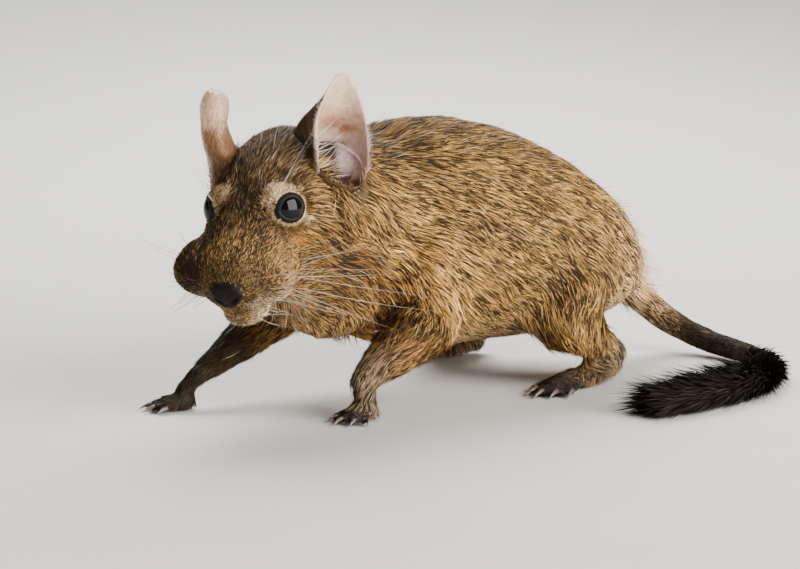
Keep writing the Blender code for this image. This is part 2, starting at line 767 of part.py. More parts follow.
def make_brush(rows, plane):
    """The end of the tail, thick with hair: a core with overlapping locks all over it."""
    random.seed(7)
    rows = brush_rows(rows)
    core = [(r * 0.8, r * 0.7, r * 0.7) for r in rows[:, 3]]
    brush = tube("tail_brush", rows[:, :3], core, 12)
    locks = []
    for i in range(BRUSH_LOCKS):
        share = (i + 0.5) / BRUSH_LOCKS
        at = 1 + share * (len(rows) - 3)
        low = int(at)
        row = rows[low] + (rows[low + 1] - rows[low]) * (at - low)
        ahead = Vector(rows[low + 1, :3] - rows[low, :3]).normalized()
        aside = UP.cross(ahead).normalized()
        turn = BRUSH_ARC[0] + (BRUSH_ARC[1] - BRUSH_ARC[0]) * (i * BRUSH_TURN % 1)
        out = aside * math.cos(turn) + ahead.cross(aside) * math.sin(turn) * 0.8
        if out.z < 0:
            out.z *= 0.5
        way = (ahead + out * BRUSH_SPREAD * random.uniform(0.7, 1.2)).normalized()
        length = BRUSH_LENGTHS[0] + (BRUSH_LENGTHS[1] - BRUSH_LENGTHS[0]) * share
        length *= random.uniform(0.8, 1.15) * (1 - 0.35 * share**6)
        root = Vector(row[:3]) + out * row[3] * 0.35
        locks.append(lock(root, way, length, LOCK_WIDTH * random.uniform(0.8, 1.2)))
    boolean(brush, "UNION", locks)
    point, facing = plane
    cut_by_plane(brush, point + facing * GAP, -facing)
    return keep_largest(brush)


def to_origin():
    """Moves everything so that the middle of the whole part's box is above the origin."""
    objects = bpy.data.objects
    points = np.vstack([[v.co for v in obj.data.vertices] for obj in objects])
    low, high = points.min(axis=0), points.max(axis=0)
    shift = Matrix.Translation((-(low[0] + high[0]) / 2, -(low[1] + high[1]) / 2, 0))
    for obj in objects:
        obj.data.transform(shift)


def paint():
    fur = material("fur", FUR, 0.8)
    foot = material("foot", PALE_FUR, 0.8)
    dark = material("dark_fur", DARK_FUR, 0.7)
    ear = material("ear_skin", EAR_SKIN, 0.6)
    eye = material("eye", EYE_COLOUR, 0.08)
    kinds = {"eye": eye, "ear": ear, "forefoot": foot, "hindfoot": foot, "tail_brush": dark}
    for obj in bpy.data.objects:
        found = [made for start, made in kinds.items() if obj.name.startswith(start)]
        obj.data.materials.clear()
        obj.data.materials.append(found[0] if found else fur)


def main():
    clear_scene()
    body = flesh("body", 0.9 * MM, 6)
    fine = thin_out(copy_of(body, "fine"), HEAD_FLESH_TRIANGLES)
    boolean(fine, "DIFFERENCE", [ear_hollow(side) for side in SIDES])
    thin_out(body, BODY_FLESH_TRIANGLES)
    turn = HEAD.to_3x3()
    point, facing = HEAD_CUT
    planes = [(HEAD @ (Vector(point) * MM), (turn @ Vector(facing)).normalized())]
    planes += [(Vector(at) * MM, Vector(way).normalized()) for at, way in TRUNK_CUTS]
    planes.append(tail_plane(TAIL_CUTS[0]))
    head = between(fine, "head", None, planes[0])
    finish_head(head)
    for side in SIDES:
        make_eye(side)
        make_ear(side, fine)
    drop(fine)
    for side in SIDES:
        names = (f"upper_arm_{side}", f"forearm_{side}")
        make_leg(body, names, SHOULDERS[side], FORELEGS[side], FORELEG_CUTS[side], FOREFOOT)
        names = (f"thigh_{side}", f"shank_{side}")
        make_leg(body, names, HIPS[side], HINDLEGS[side], HINDLEG_CUTS[side], HINDFOOT)
        make_foot(f"forefoot_{side}", FOREFOOT, side, FORELEGS[side])
        make_foot(f"hindfoot_{side}", HINDFOOT, side, HINDLEGS[side])
    for name, front, back in zip(("neck", "chest", "belly", "rump"), planes, planes[1:]):
        between(body, name, front, back)
    drop(body)
    make_tail()
    to_origin()
    paint()


main()
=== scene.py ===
"""The looks of a still, life-size degu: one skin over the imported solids, a coat of thin tufts
that follows the lie of the hair, and the ears, eyes, claws, whiskers and brush of the tail.

The animal faces -X, its left side is -Y and it stands on z = 0. Numbers of a named shape are in
millimetres. The head has its own frame: x runs back from the tip of the nose, y to the animal's
left and z up.
"""

import math

import bmesh
import bpy
import numpy as np
from bpy.props import FloatProperty, FloatVectorProperty, IntProperty, PointerProperty
from mathutils import Matrix, Vector


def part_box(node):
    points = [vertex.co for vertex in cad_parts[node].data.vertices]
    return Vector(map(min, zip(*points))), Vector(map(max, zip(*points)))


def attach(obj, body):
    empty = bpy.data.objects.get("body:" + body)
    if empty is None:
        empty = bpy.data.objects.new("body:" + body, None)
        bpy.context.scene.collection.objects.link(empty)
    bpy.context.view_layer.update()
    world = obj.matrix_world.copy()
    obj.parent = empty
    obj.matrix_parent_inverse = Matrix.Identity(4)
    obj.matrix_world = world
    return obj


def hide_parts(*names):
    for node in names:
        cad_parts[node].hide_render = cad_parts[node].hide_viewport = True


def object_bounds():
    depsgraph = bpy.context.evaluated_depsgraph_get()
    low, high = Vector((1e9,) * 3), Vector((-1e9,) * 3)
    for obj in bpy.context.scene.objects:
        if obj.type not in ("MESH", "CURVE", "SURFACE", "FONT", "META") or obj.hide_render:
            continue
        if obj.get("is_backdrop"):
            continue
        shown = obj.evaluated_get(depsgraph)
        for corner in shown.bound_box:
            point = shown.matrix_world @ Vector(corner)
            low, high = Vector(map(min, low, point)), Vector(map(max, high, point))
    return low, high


bl_info = {
    "name": "Still degu",
    "version": (1, 0, 0),
    "blender": (4, 5, 0),
    "location": "3D View > Sidebar > Degu",
    "description": "Builds the skin, coat and details of a life-size degu over its solids",
    "category": "Object",
}

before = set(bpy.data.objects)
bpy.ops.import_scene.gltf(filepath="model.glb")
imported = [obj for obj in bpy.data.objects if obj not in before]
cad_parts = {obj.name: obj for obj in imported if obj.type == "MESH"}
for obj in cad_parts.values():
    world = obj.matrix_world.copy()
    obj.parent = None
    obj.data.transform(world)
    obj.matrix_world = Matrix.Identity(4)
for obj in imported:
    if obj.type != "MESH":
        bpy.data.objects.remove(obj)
CAD_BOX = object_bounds()

MM = 0.001
SIDES = {"left": 1, "right": -1}
# The solids are swollen by this much before they are run together, to close the cuts.
SWELL = 0.25 * MM

# The solids' own sizes, in millimetres, where the fine shapes start from the same numbers.
HEAD_YAW, HEAD_PITCH, HEAD_LEAN = np.radians((31, 29, 3))
NOSE_TIP = np.array((-57.4, -18.6, 30.0))
EYE_CENTRE = np.array((22.8, 6.6, 7.0))
EYE_OUTWARD = np.array((-0.50, 0.80, 0.32))
EYE_FRONT = np.array((-0.80, -0.57, 0.17))
EYE_RADIUS = 4.9
LID_HALF_WIDTH, LID_HALF_HEIGHT = 3.5, 3.2
# Shares of the lids' outline: the edge that touches the eye, and where the dark rim ends.
LID_EDGE, LID_END = 0.71, 1.0
EAR_BOTTOM = np.array((34.6, 16.2, 3.1))
EAR_TIPS = {"left": np.array((47.4, 16.8, 25.4)), "right": np.array((41.0, 12.6, 26.0))}
EAR_FACING = {"left": np.array((-0.60, 0.78, 0.12)), "right": np.array((-0.45, 0.88, 0.08))}
EAR_ROLLS = {"left": (106, 20), "right": (88, 116)}
EAR_ROLL_CHANGE = {"left": (0.45, 1.05), "right": (0.60, 0.95)}
EAR_BOW = {"left": 0, "right": 2.0}
EAR_FOLD, EAR_FOLD_START, EAR_FOLD_END = 3.8, (0.36, 0.52), (0.58, 0.92)
EAR_HALF_WIDTH, EAR_ROUNDNESS, EAR_TAPER, EAR_WIDEST = 6.9, 2.4, 0.5, 0.28
EAR_ROWS, EAR_COLUMNS, EAR_THICKNESS = 61, 33, 0.75
# Bones of the body with their radii: x, y, z, radius. The head's are in the head's frame.
HEAD_BONES = ((2, 0, 0, 4), (10, 0, -1, 8), (20, 0, -1, 11), (30, 0, -1, 14), (41, 0, -1, 15.5))
TRUNK_BONES = (
    (-28, -6, 45, 16), (-14, -1, 39, 18), (0, 0, 38, 22), (14, 0, 37, 25), (28, 0, 35, 27),
    (42, 0, 32, 27), (55, 0, 29, 24), (66, 0, 26, 19), (76, 0, 24, 12),
)
FORELEGS = {
    "left": ((-1, -14, 34, 11), (0, -17, 22, 8.5), (-9, -20.5, 16.5, 6), (-21, -21.5, 10, 3.4)),
    "right": ((-6, 12, 32, 11), (-20, 12, 22, 8.5), (-32, 12, 14, 5.4), (-45.5, 12, 6.8, 2.7)),
}
HINDLEGS = {
    "left": ((48, -14, 28, 14), (40, -20, 22, 12), (42, -23.5, 12, 8), (54, -23.5, 6.4, 4.2)),
    "right": ((46, 14, 28, 14), (38, 20, 22, 12), (40, 23.5, 12, 8), (52, 23.5, 6.4, 4.2)),
}
TAIL_BONES = (
    (76, 0, 23, 7.0), (86, -1, 16, 4.6), (93, -7, 8.5, 3.9), (96, -19, 4.0, 3.4),
    (93, -35, 3.0, 3.0), (83, -48, 2.6, 2.6), (68, -56, 2.4, 2.2), (50, -59, 2.2, 1.9),
)
TAIL_TIP = (36, -59.5, 2.0, 1.2)
# Toes from the inner side: across, length and spread in degrees.
FOREFOOT = dict(
    yaw={"left": 20, "right": -20}, palm=(4.2, 2.5), reach=2.6, toe_radius=1.15, claw=2.4,
    toes=((-2.7, 4.4, -24), (-0.9, 5.6, -8), (1.0, 5.6, 8), (2.7, 4.6, 24)),
)
HINDFOOT = dict(
    yaw={"left": 12, "right": -12}, palm=(15, 3.0), reach=12.5, toe_radius=1.35, claw=3.4,
    toes=((-3.5, 6.0, -18), (-1.9, 9.4, -7), (0, 10.2, 0), (1.9, 9.6, 7), (3.5, 7.4, 17)),
)
FLESH = (
    "belly", "chest", "neck", "head", "rump", "tail_base", "tail_middle",
    *(f"{name}_{side}" for side in SIDES for name in (
        "upper_arm", "forearm", "forefoot", "thigh", "shank", "hindfoot")),
)
# Tufts in a clump, the shares along a tuft where its points lie, and its width at the first two.
PER_CLUMP = 4
STATIONS = np.array((0, 0.6, 1.0))
TAPER = np.array((0.8, 1.0))
EAR_TUFTS, BRUSH_TUFTS = 5200, 13000
# No hair of the coat is longer than this, and none reaches lower than this.
LONGEST, LOWEST = 10.5 * MM, 0.25 * MM
# Pale bands of the hair in small zones, and the brush, beside the colours that can be set.
RUMP_HAIR, LIP_HAIR, OCHRE_HAIR = (0.98, 0.68, 0.38), (0.98, 0.74, 0.48), (0.50, 0.22, 0.04)
TOE_HAIR, TAIL_HAIR = (0.10, 0.08, 0.07), (0.10, 0.06, 0.035)
BRUSH_HAIR, BRUSH_START_HAIR = (0.020, 0.014, 0.011), (0.16, 0.09, 0.05)
# Skin in the ears at the bottom of the cup: its own colour behind, and painted shade in front.
EAR_HOLLOW_REAR, EAR_HOLLOW_FRONT_SHADE = (0.56, 0.41, 0.38), (0.035, 0.018, 0.014)


def unit(vectors):
    """Vectors scaled to a length of 1."""
    vectors = np.asarray(vectors, float)
    return vectors / np.maximum(np.linalg.norm(vectors, axis=-1, keepdims=True), 1e-12)


def dot(a, b):
    return (a * b).sum(-1)


def eased(values, low, high):
    """0 below low, 1 above high and a smooth step between."""
    t = np.clip((np.asarray(values, float) - low) / (high - low), 0, 1)
    return t * t * (3 - 2 * t)


def mixed(a, b, share):
    """From a to b by a share that has one value for each row."""
    share = np.asarray(share)[..., None]
    return np.asarray(a) * (1 - share) + np.asarray(b) * share


def toward(values, target, share):
    """Values moved towards a target by a share."""
    return values + (target - values) * share


def bell(*pairs):
    """1 in the middle of a soft patch, from pairs of the way from it and the patch's width."""
    return np.exp(-sum((away / width) ** 2 for away, width in pairs))


def waves(places, size, seed):
    """A smooth random field at places: sines of random directions, about a size apart, added
    up to lie mostly between -1 and 1."""
    rng = np.random.default_rng(seed)
    ways = unit(rng.normal(0, 1, (9, 3))) * math.tau / size * rng.uniform(0.6, 1.6, (9, 1))
    return np.sin(places @ ways.T + rng.uniform(0, math.tau, 9)).sum(1) / 3.2


def head_axes():
    """Rows that point back, left and up on the head: turned left, nose down, then leant."""
    forward = -np.array((
        math.cos(HEAD_YAW) * math.cos(HEAD_PITCH),
        math.sin(HEAD_YAW) * math.cos(HEAD_PITCH),
        math.sin(HEAD_PITCH),
    ))
    left = unit(np.cross((0, 0, 1), forward))
    up = np.cross(forward, left)
    lean, stay = math.sin(HEAD_LEAN), math.cos(HEAD_LEAN)
    return np.array((-forward, left * stay + up * lean, up * stay - left * lean))


def middle_of(node):
    low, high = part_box(node)
    return np.array((low + high) / 2)


HEAD_AXES = head_axes()
NOSE = (middle_of("eye_left") + middle_of("eye_right")) / 2 - MM * (
    np.array((EYE_CENTRE[0], 0, EYE_CENTRE[2])) @ HEAD_AXES
)
# The solids are moved so that their box stands over the origin: this is by how much.
SHIFT = NOSE - NOSE_TIP * MM


def at_head(points):
    """Points of the head's frame, in millimetres, as places in the scene."""
    return NOSE + np.asarray(points, float) @ HEAD_AXES * MM


def in_head(places):
    """Places in the scene as points of the head's frame, in millimetres."""
    return (places - NOSE) @ HEAD_AXES.T / MM


def placed(points):
    """Points in the solids' own millimetres as places in the scene."""
    return SHIFT + np.asarray(points, float) * MM


def on_side(vector, side):
    return np.asarray(vector, float) * (1, SIDES[side], 1)


def curve(rows, steps):
    """Rows of numbers with steps - 1 more between each two, on a Catmull-Rom curve."""
    rows = np.asarray(rows, float)
    ends = np.vstack([2 * rows[0] - rows[1], rows, 2 * rows[-1] - rows[-2]])
    a, b, c, d = (ends[i : i + len(rows) - 1, None] for i in range(4))
    t = (np.arange(steps) / steps)[:, None]
    made = 0.5 * (2 * b + (c - a) * t + (2 * a - 5 * b + 4 * c - d) * t**2
                  + (3 * b - a - 3 * c + d) * t**3)
    return np.vstack([made.reshape(-1, rows.shape[1]), rows[-1]])


def chain(rows, place=placed):
    """A chain of bones in the scene: places (n, 3) and radii (n), both in metres."""
    rows = curve(rows, 3)
    return place(rows[:, :3]), rows[:, 3] * MM


def foot_chain(bones, plan, side):
    """The bones of a foot, from the joint of the leg to the ends of the toes."""
    joint = np.array(bones[-1][:3])
    ahead, _ = foot_axes(plan, side)
    sole = plan["palm"][1] * 0.7
    reach = plan["reach"] + plan["palm"][0] * 0.6
    near = joint * (1, 1, 0) + (0, 0, sole)
    far = near + ahead * (reach + plan["toes"][1][1])
    return chain([(*joint, bones[-1][3]), (*(near + ahead * reach * 0.5), sole), (*far, 1.2)])


def foot_axes(plan, side):
    """The way the toes point, and the way across the foot to its outer side."""
    heading = math.radians(plan["yaw"][side])
    ahead = np.array((-math.cos(heading), -math.sin(heading), 0))
    return ahead, np.cross((0, 0, 1), ahead) * SIDES[side]


CHAINS = {"head": chain(HEAD_BONES, at_head), "trunk": chain(TRUNK_BONES)}
for side_name in SIDES:
    for leg, bones_of, plan_of in (
        ("foreleg", FORELEGS, FOREFOOT), ("hindleg", HINDLEGS, HINDFOOT)
    ):
        CHAINS[f"{leg}_{side_name}"] = chain(bones_of[side_name])
        CHAINS[f"{leg[:4]}foot_{side_name}"] = foot_chain(
            bones_of[side_name], plan_of, side_name
        )
CHAINS["tail"] = chain(TAIL_BONES)


def new_mesh(name, points, faces, tint):
    """A mesh object from arrays: points (n, 3), a list of face arrays that each have one number
    of corners, and a colour for each point."""
    mesh = bpy.data.meshes.new(name)
    mesh.vertices.add(len(points))
    mesh.vertices.foreach_set("co", np.asarray(points, np.float32).ravel())
    counts = np.concatenate([np.full(len(f), f.shape[1], np.int32) for f in faces])
    corners = np.concatenate([f.ravel() for f in faces]).astype(np.int32)
    mesh.loops.add(len(corners))
    mesh.loops.foreach_set("vertex_index", corners)
    mesh.polygons.add(len(counts))
    mesh.polygons.foreach_set("loop_start", np.cumsum(counts, dtype=np.int32) - counts)
    mesh.polygons.foreach_set("use_smooth", np.ones(len(counts), bool))
    mesh.update(calc_edges=True)
    paint(mesh, tint)
    made = bpy.data.objects.new(name, mesh)
    bpy.context.scene.collection.objects.link(made)
    return made


def paint(mesh, tint):
    """Writes a colour for each point of the mesh as the attribute "coat"."""
    rgba = np.ones((len(mesh.vertices), 4), np.float32)
    rgba[:, :3] = tint
    layer = mesh.color_attributes.new("coat", "FLOAT_COLOR", "POINT")
    layer.data.foreach_set("color", rgba.ravel())


def grid_faces(rows, columns, closed=True):
    """Quads of a grid of points, numbered along each row. A closed one joins its row ends."""
    i, j = np.meshgrid(np.arange(rows - 1), np.arange(columns if closed else columns - 1),
                       indexing="ij")
    a, b = i * columns + j, i * columns + (j + 1) % columns
    return np.stack([a, b, b + columns, a + columns], -1).reshape(-1, 4)


def facing_out(obj):
    """Turns the faces of closed surfaces so that they point outwards."""
    bm = bmesh.new()
    bm.from_mesh(obj.data)
    bmesh.ops.remove_doubles(bm, verts=bm.verts[:], dist=0.002 * MM)
    bmesh.ops.recalc_face_normals(bm, faces=bm.faces[:])
    bm.to_mesh(obj.data)
    bm.free()
    return obj


def finish(obj, material, *nodes, slot=None):
    """Gives a piece its material, lets it ride on the body and stand for solids."""
    obj.data.materials.append(material)
    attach(obj, "root")
    if nodes:
        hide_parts(*nodes)
    return obj


def places_of(mesh):
    """The points of a mesh (n, 3)."""
    places = np.empty(len(mesh.vertices) * 3, np.float32)
    mesh.vertices.foreach_get("co", places)
    return places.reshape(-1, 3).astype(float)


def triangles_of(mesh):
    """The corners of each triangle of a mesh (n, 3)."""
    mesh.calc_loop_triangles()
    corners = np.empty(len(mesh.loop_triangles) * 3, np.int32)
    mesh.loop_triangles.foreach_get("vertices", corners)
    return corners.reshape(-1, 3)


def normals_of(places, corners):
    """Normals at points: the sum of the area vectors of the triangles that meet there."""
    a, b, c = places[corners].transpose(1, 0, 2)
    area = np.cross(b - a, c - a)
    total = np.stack([
        np.bincount(corners.ravel(), np.repeat(area[:, k], 3), len(places)) for k in range(3)
    ], -1)
    return unit(total)


def relaxed(values, edges, share, passes):
    """Rows of values at points, moved towards the mean of their neighbours by a share, which
    can be one number or one for each point."""
    pairs = np.vstack([edges, edges[:, ::-1]])
    count = np.maximum(np.bincount(pairs[:, 0], minlength=len(values)), 1)[:, None]
    share = np.broadcast_to(share, len(values))[:, None]
    for _ in range(passes):
        mean = np.stack([
            np.bincount(pairs[:, 0], column[pairs[:, 1]], len(values)) for column in values.T
        ], -1) / count
        values = toward(values, mean, share)
    return values


def bent_along(places, normals, flow, edges):
    """How strongly the surface curves along the flow at each place, in 1/m and positive where it
    is rounded outwards: the change of the normal along the edges that lead that way."""
    pairs = np.vstack([edges, edges[:, ::-1]])
    step = places[pairs[:, 1]] - places[pairs[:, 0]]
    size = np.maximum(dot(step, step), 1e-12)
    curve_there = dot(normals[pairs[:, 1]] - normals[pairs[:, 0]], step) / size
    weight = (dot(step, flow[pairs[:, 0]]) ** 2 / size) ** 2
    total = np.bincount(pairs[:, 0], weight, len(places))
    bent = np.bincount(pairs[:, 0], weight * curve_there, len(places)) / np.maximum(total, 1e-6)
    return relaxed(np.clip(bent, -400, 300)[:, None], edges, 0.5, 6)[:, 0]


def edges_of(mesh):
    """The two points of each edge of a mesh (n, 2)."""
    edges = np.empty(len(mesh.edges) * 2, np.int32)
    mesh.edges.foreach_get("vertices", edges)
    return edges.reshape(-1, 2)


def along_chain(places, bones):
    """For each place: its share of the way along a chain of bones, its height above the
    capsules round the bones, the way of the nearest bone and the offset from it."""
    ends, radii = bones
    start, way = ends[:-1], np.diff(ends, axis=0)
    share = np.clip(dot(places[:, None] - start, way) / dot(way, way), 0, 1)
    offset = places[:, None] - (start + share[..., None] * way)
    radius = radii[:-1] + share * np.diff(radii)
    height = np.linalg.norm(offset, axis=-1) - radius
    nearest = height.argmin(1)
    rows = np.arange(len(places))
    return (
        (nearest + share[rows, nearest]) / len(way),
        height[rows, nearest],
        unit(way)[nearest],
        offset[rows, nearest],
    )


class Lie:
    """What the coat does at each of some places: which chain it belongs to, which way the hair
    lies, and the numbers that its markings are made of."""

    def __init__(self, places, normals):
        self.places, self.normals = places, normals
        self.head = in_head(places)
        shares, heights, ways = [], [], []
        for bones in CHAINS.values():
            share, height, way, _ = along_chain(places, bones)
            shares.append(share)
            heights.append(height)
            ways.append(way)
        heights, ways = np.array(heights), np.array(ways)
        near = np.exp(-(heights - heights.min(0)) / (2.2 * MM))
        self.weights = dict(zip(CHAINS, near / near.sum(0)))
        self.shares = dict(zip(CHAINS, shares))
        self.part = heights.argmin(0)
        joined = np.array([
            0.12 + 0.88 * eased(share, 0.1, 0.5) if "leg" in name else np.ones(len(places))
            for name, share in self.shares.items()
        ])
        flow = ((near * joined)[..., None] * ways).sum(0) / near.sum(0)[:, None]
        flow = self.down_the_sides(flow)
        flow = self.round_the_eyes(flow)
        self.flow = unit(flow - normals * dot(flow, normals)[:, None])

    def weight(self, *starts):
        """How far each place belongs to the chains whose names start so."""
        return sum(w for name, w in self.weights.items() if name.startswith(starts))

    def past(self, name, low, high):
        """How far each place belongs to one chain, growing between two shares of the way."""
        return self.weights[name] * eased(self.shares[name], low, high)

    def down_the_sides(self, flow):
        """Hair on the flanks and cheeks also runs down."""
        flank = self.weights["trunk"] * np.abs(self.normals[:, 1])
        cheek = self.weights["head"] * eased(self.head[:, 0], 8, 24) * eased(
            -self.head[:, 2], -9, 3)
        flow = flow - np.array((0, 0, 0.45)) * flank[:, None]
        return flow - HEAD_AXES[2] * 0.7 * cheek[:, None]

    def round_the_eyes(self, flow):
        """Hair beside an eye points away from its opening."""
        for side in SIDES:
            a, b, _, near = eye_plane(self.places, side)
            front, up, _ = eye_axes(side)
            away = unit(a[:, None] * front + b[:, None] * up)
            flow = flow + away * (2.2 * np.exp(-((np.hypot(a, b) / 6.5) ** 4)) * near)[:, None]
        return flow


def eye_axes(side):
    """Rows in the scene that point to the eye's front corner, up over it and out of it."""
    outward = unit(on_side(EYE_OUTWARD, side))
    front = on_side(EYE_FRONT, side)
    front = unit(front - outward * dot(front, outward))
    up = np.cross(outward, front)
    up = up * np.sign(up[2])
    return np.array((front, up, outward)) @ HEAD_AXES


def eye_plane(places, side):
    """Millimetres to the front corner, up and out from the eye's centre, and 1 near the eye."""
    away = (places - at_head(on_side(EYE_CENTRE, side))) / MM
    a, b, c = (away @ eye_axes(side).T).T
    near = eased(c, -1.5, 1.5) * (1 - eased(np.linalg.norm(away, axis=-1), 9, 12))
    return a, b, c, near


def lid_outline(turn):
    """Radius of the lids' outer edge at an angle from the front corner of the eye: an oval,
    drawn out at the front corner and less so at the rear one, and fuller above than below."""
    oval = 1 / np.hypot(np.cos(turn) / LID_HALF_WIDTH, np.sin(turn) / LID_HALF_HEIGHT)
    from_corner = np.abs((turn + np.pi) % (2 * np.pi) - np.pi)
    corner, rear = bell((from_corner, 0.34)), bell((np.pi - from_corner, 0.4))
    return oval * (1 + 0.11 * corner + 0.05 * rear + 0.04 * np.sin(turn))


def lid_ring(a, b):
    """How far out places of the eye's plane are, as a share of the lids' outline."""
    return np.hypot(a, b) / lid_outline(np.arctan2(b, a))


class DeguSizes(bpy.types.PropertyGroup):
    """Sizes of the skin and its coat."""

    skin_voxel: FloatProperty(
        name="Skin voxel", description="Edge of the cells that the skin is made from",
        default=0.8 * MM, min=0.5 * MM, max=2 * MM, subtype="DISTANCE", unit="LENGTH",
    )
    coat_depth: FloatProperty(
        name="Coat depth", description="How far the skin of the flanks lies inside the solids",
        default=1.8 * MM, min=0, max=5 * MM, subtype="DISTANCE", unit="LENGTH",
    )
    hair_length: FloatProperty(
        name="Hair length", description="Length of the hair on the back",
        default=5.6 * MM, min=MM, max=20 * MM, subtype="DISTANCE", unit="LENGTH",
    )
    tuft_width: FloatProperty(
        name="Tuft width", description="Width of a tuft of the back where it is widest",
        default=0.17 * MM, min=0.05 * MM, max=MM, subtype="DISTANCE", unit="LENGTH",
    )
    tufts: IntProperty(
        name="Tufts", description="How many tufts the whole coat has", default=440000,
        min=1000, max=460000,
    )
    whisker_length: FloatProperty(
        name="Whisker length", description="Length of the longest whiskers",
        default=30 * MM, min=5 * MM, max=60 * MM, subtype="DISTANCE", unit="LENGTH",
    )


def colour_property(name, description, default):
    return FloatVectorProperty(
        name=name, description=description, default=default, size=3, min=0, max=1,
        subtype="COLOR",
    )


class DeguColours(bpy.types.PropertyGroup):
    """Colours of the coat and of the bare parts."""

    back: colour_property("Back", "Pale band of the hair on the back", (0.72, 0.40, 0.120))
    crown: colour_property("Crown", "Pale band of the hair on the head", (0.28, 0.165, 0.068))
    cheek: colour_property("Cheek", "Pale band of the hair on the cheek", (0.24, 0.122, 0.030))
    muzzle: colour_property("Muzzle", "Pale band of the hair on the muzzle", (0.74, 0.43, 0.16))
    cream: colour_property("Cream", "Hair round the eyes and at the ears", (0.98, 0.68, 0.39))
    belly: colour_property("Belly", "Hair of the belly and the chin", (0.56, 0.40, 0.24))
    paws: colour_property("Paws", "Hair of the feet", (0.34, 0.25, 0.16))
    dark: colour_property("Dark", "Dark tips and roots of the hair", (0.018, 0.013, 0.010))
    nose: colour_property("Nose", "Pad of the nose", (0.008, 0.005, 0.004))
    lid: colour_property("Lid", "Rims of the lids", (0.007, 0.006, 0.006))
    ear_inside: colour_property("Ear inside", "Bare skin inside the ears", (0.72, 0.52, 0.37))
    ear_outside: colour_property("Ear outside", "Skin behind the ears", (0.33, 0.18, 0.09))


def sizes():
    return bpy.context.scene.degu_sizes


def colours():
    return bpy.context.scene.degu_colours


def depth_at(lie):
    """How far the skin lies inside the solids: most on the flanks, the end of the rump and the
    tops of the legs, least on the back, the face, the feet and the tail. The near foreleg and
    the far pad of the muzzle stand out of their solids a little."""
    depth = np.full(len(lie.places), sizes().coat_depth / MM)
    depth = toward(depth, 0.5 + 0.9 * eased(lie.head[:, 0], 10, 34), lie.weight("head"))
    down_legs = sum(lie.shares[name] * lie.weights[name] for name in CHAINS if "leg" in name)
    depth = toward(depth, 2.0, lie.weight("foreleg", "hindleg")) - 1.3 * down_legs
    depth = toward(depth, 0.3, lie.weight("forefoot", "hindfoot"))
    depth = toward(depth, 0.5, lie.weight("tail"))
    for side in SIDES:
        depth = toward(depth, 0.4, eye_plane(lie.places, side)[3])
    back = lie.weight("trunk") * eased(lie.normals[:, 2], 0.1, 0.7)
    depth = depth - 1.3 * back * (1 - eased(lie.shares["trunk"], 0.75, 0.95))
    near = lie.past("foreleg_left", 0.3, 0.6)
    return (np.clip(depth, 0.2, 3) - 1.0 * near - 1.5 * far_pad(lie.head)) * MM


def far_pad(head):
    """1 on the swollen pad of the muzzle's far side."""
    x, y, z = head.T
    return bell((x - 8, 4.5), (z - 0.3, 4.0)) * eased(-y, 3, 7)


def rough_skin():
    """The solids' flesh, swollen to close the cuts between them, with the eyes' bulges filled,
    run together into one even mesh."""
    bm = bmesh.new()
    for name in FLESH:
        part = bmesh.new()
        part.from_mesh(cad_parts[name].data)
        bmesh.ops.remove_doubles(part, verts=part.verts[:], dist=0.001 * MM)
        part.normal_update()
        for vert in part.verts:
            vert.co += vert.normal * SWELL
        mesh = bpy.data.meshes.new("part")
        part.to_mesh(mesh)
        part.free()
        bm.from_mesh(mesh)
        bpy.data.meshes.remove(mesh)
    fillings = [(EYE_CENTRE * (1, sign, 1), (5.7,) * 3) for sign in SIDES.values()]
    fillings.append(((3.4, 0, -0.2), (3.2, 4.4, 3.6)))
    for centre, half in fillings:
        place = Matrix.Translation(Vector(at_head(centre))) @ Matrix(
            HEAD_AXES.T * np.array(half) * MM).to_4x4()
        before = len(bm.faces)
        bmesh.ops.create_uvsphere(bm, u_segments=32, v_segments=20, radius=1, matrix=place)
        bm.faces.ensure_lookup_table()
        bmesh.ops.recalc_face_normals(bm, faces=bm.faces[before:])
    mesh = bpy.data.meshes.new("skin")
    bm.to_mesh(mesh)
    bm.free()
    skin = bpy.data.objects.new("skin", mesh)
    bpy.context.scene.collection.objects.link(skin)
    remesh = skin.modifiers.new("cells", "REMESH")
    remesh.mode = "VOXEL"
    remesh.voxel_size = sizes().skin_voxel
    smooth = skin.modifiers.new("smooth", "SMOOTH")
    smooth.factor = 0.5
    smooth.iterations = 4
    graph = bpy.context.evaluated_depsgraph_get()
    made = bpy.data.meshes.new_from_object(skin.evaluated_get(graph))
    skin.modifiers.clear()
    skin.data = made
    return skin


def fine_where(skin, wanted, cuts):
    """Splits the faces whose middles are wanted, to give room for fine forms."""
    bm = bmesh.new()
    bm.from_mesh(skin.data)
    middles = np.array([f.calc_center_median() for f in bm.faces])
    bm.edges.ensure_lookup_table()
    edges = {e for f, yes in zip(bm.faces, wanted(middles)) if yes for e in f.edges}
    bmesh.ops.subdivide_edges(bm, edges=list(edges), cuts=cuts, use_grid_fill=True)
    bmesh.ops.triangulate(bm, faces=[f for f in bm.faces if len(f.verts) > 4])
    bm.to_mesh(skin.data)
    bm.free()


def near_eyes(places):
    return np.any([
        (np.hypot(a, b) < 6.8) & (c > 0)
        for a, b, c, _ in (eye_plane(places, side) for side in SIDES)
    ], axis=0)


def near_nose(places):
    x, y, z = in_head(places).T
    return (x < 13) & (np.abs(y) < 9) & (z > -12) & (z < 4.5)


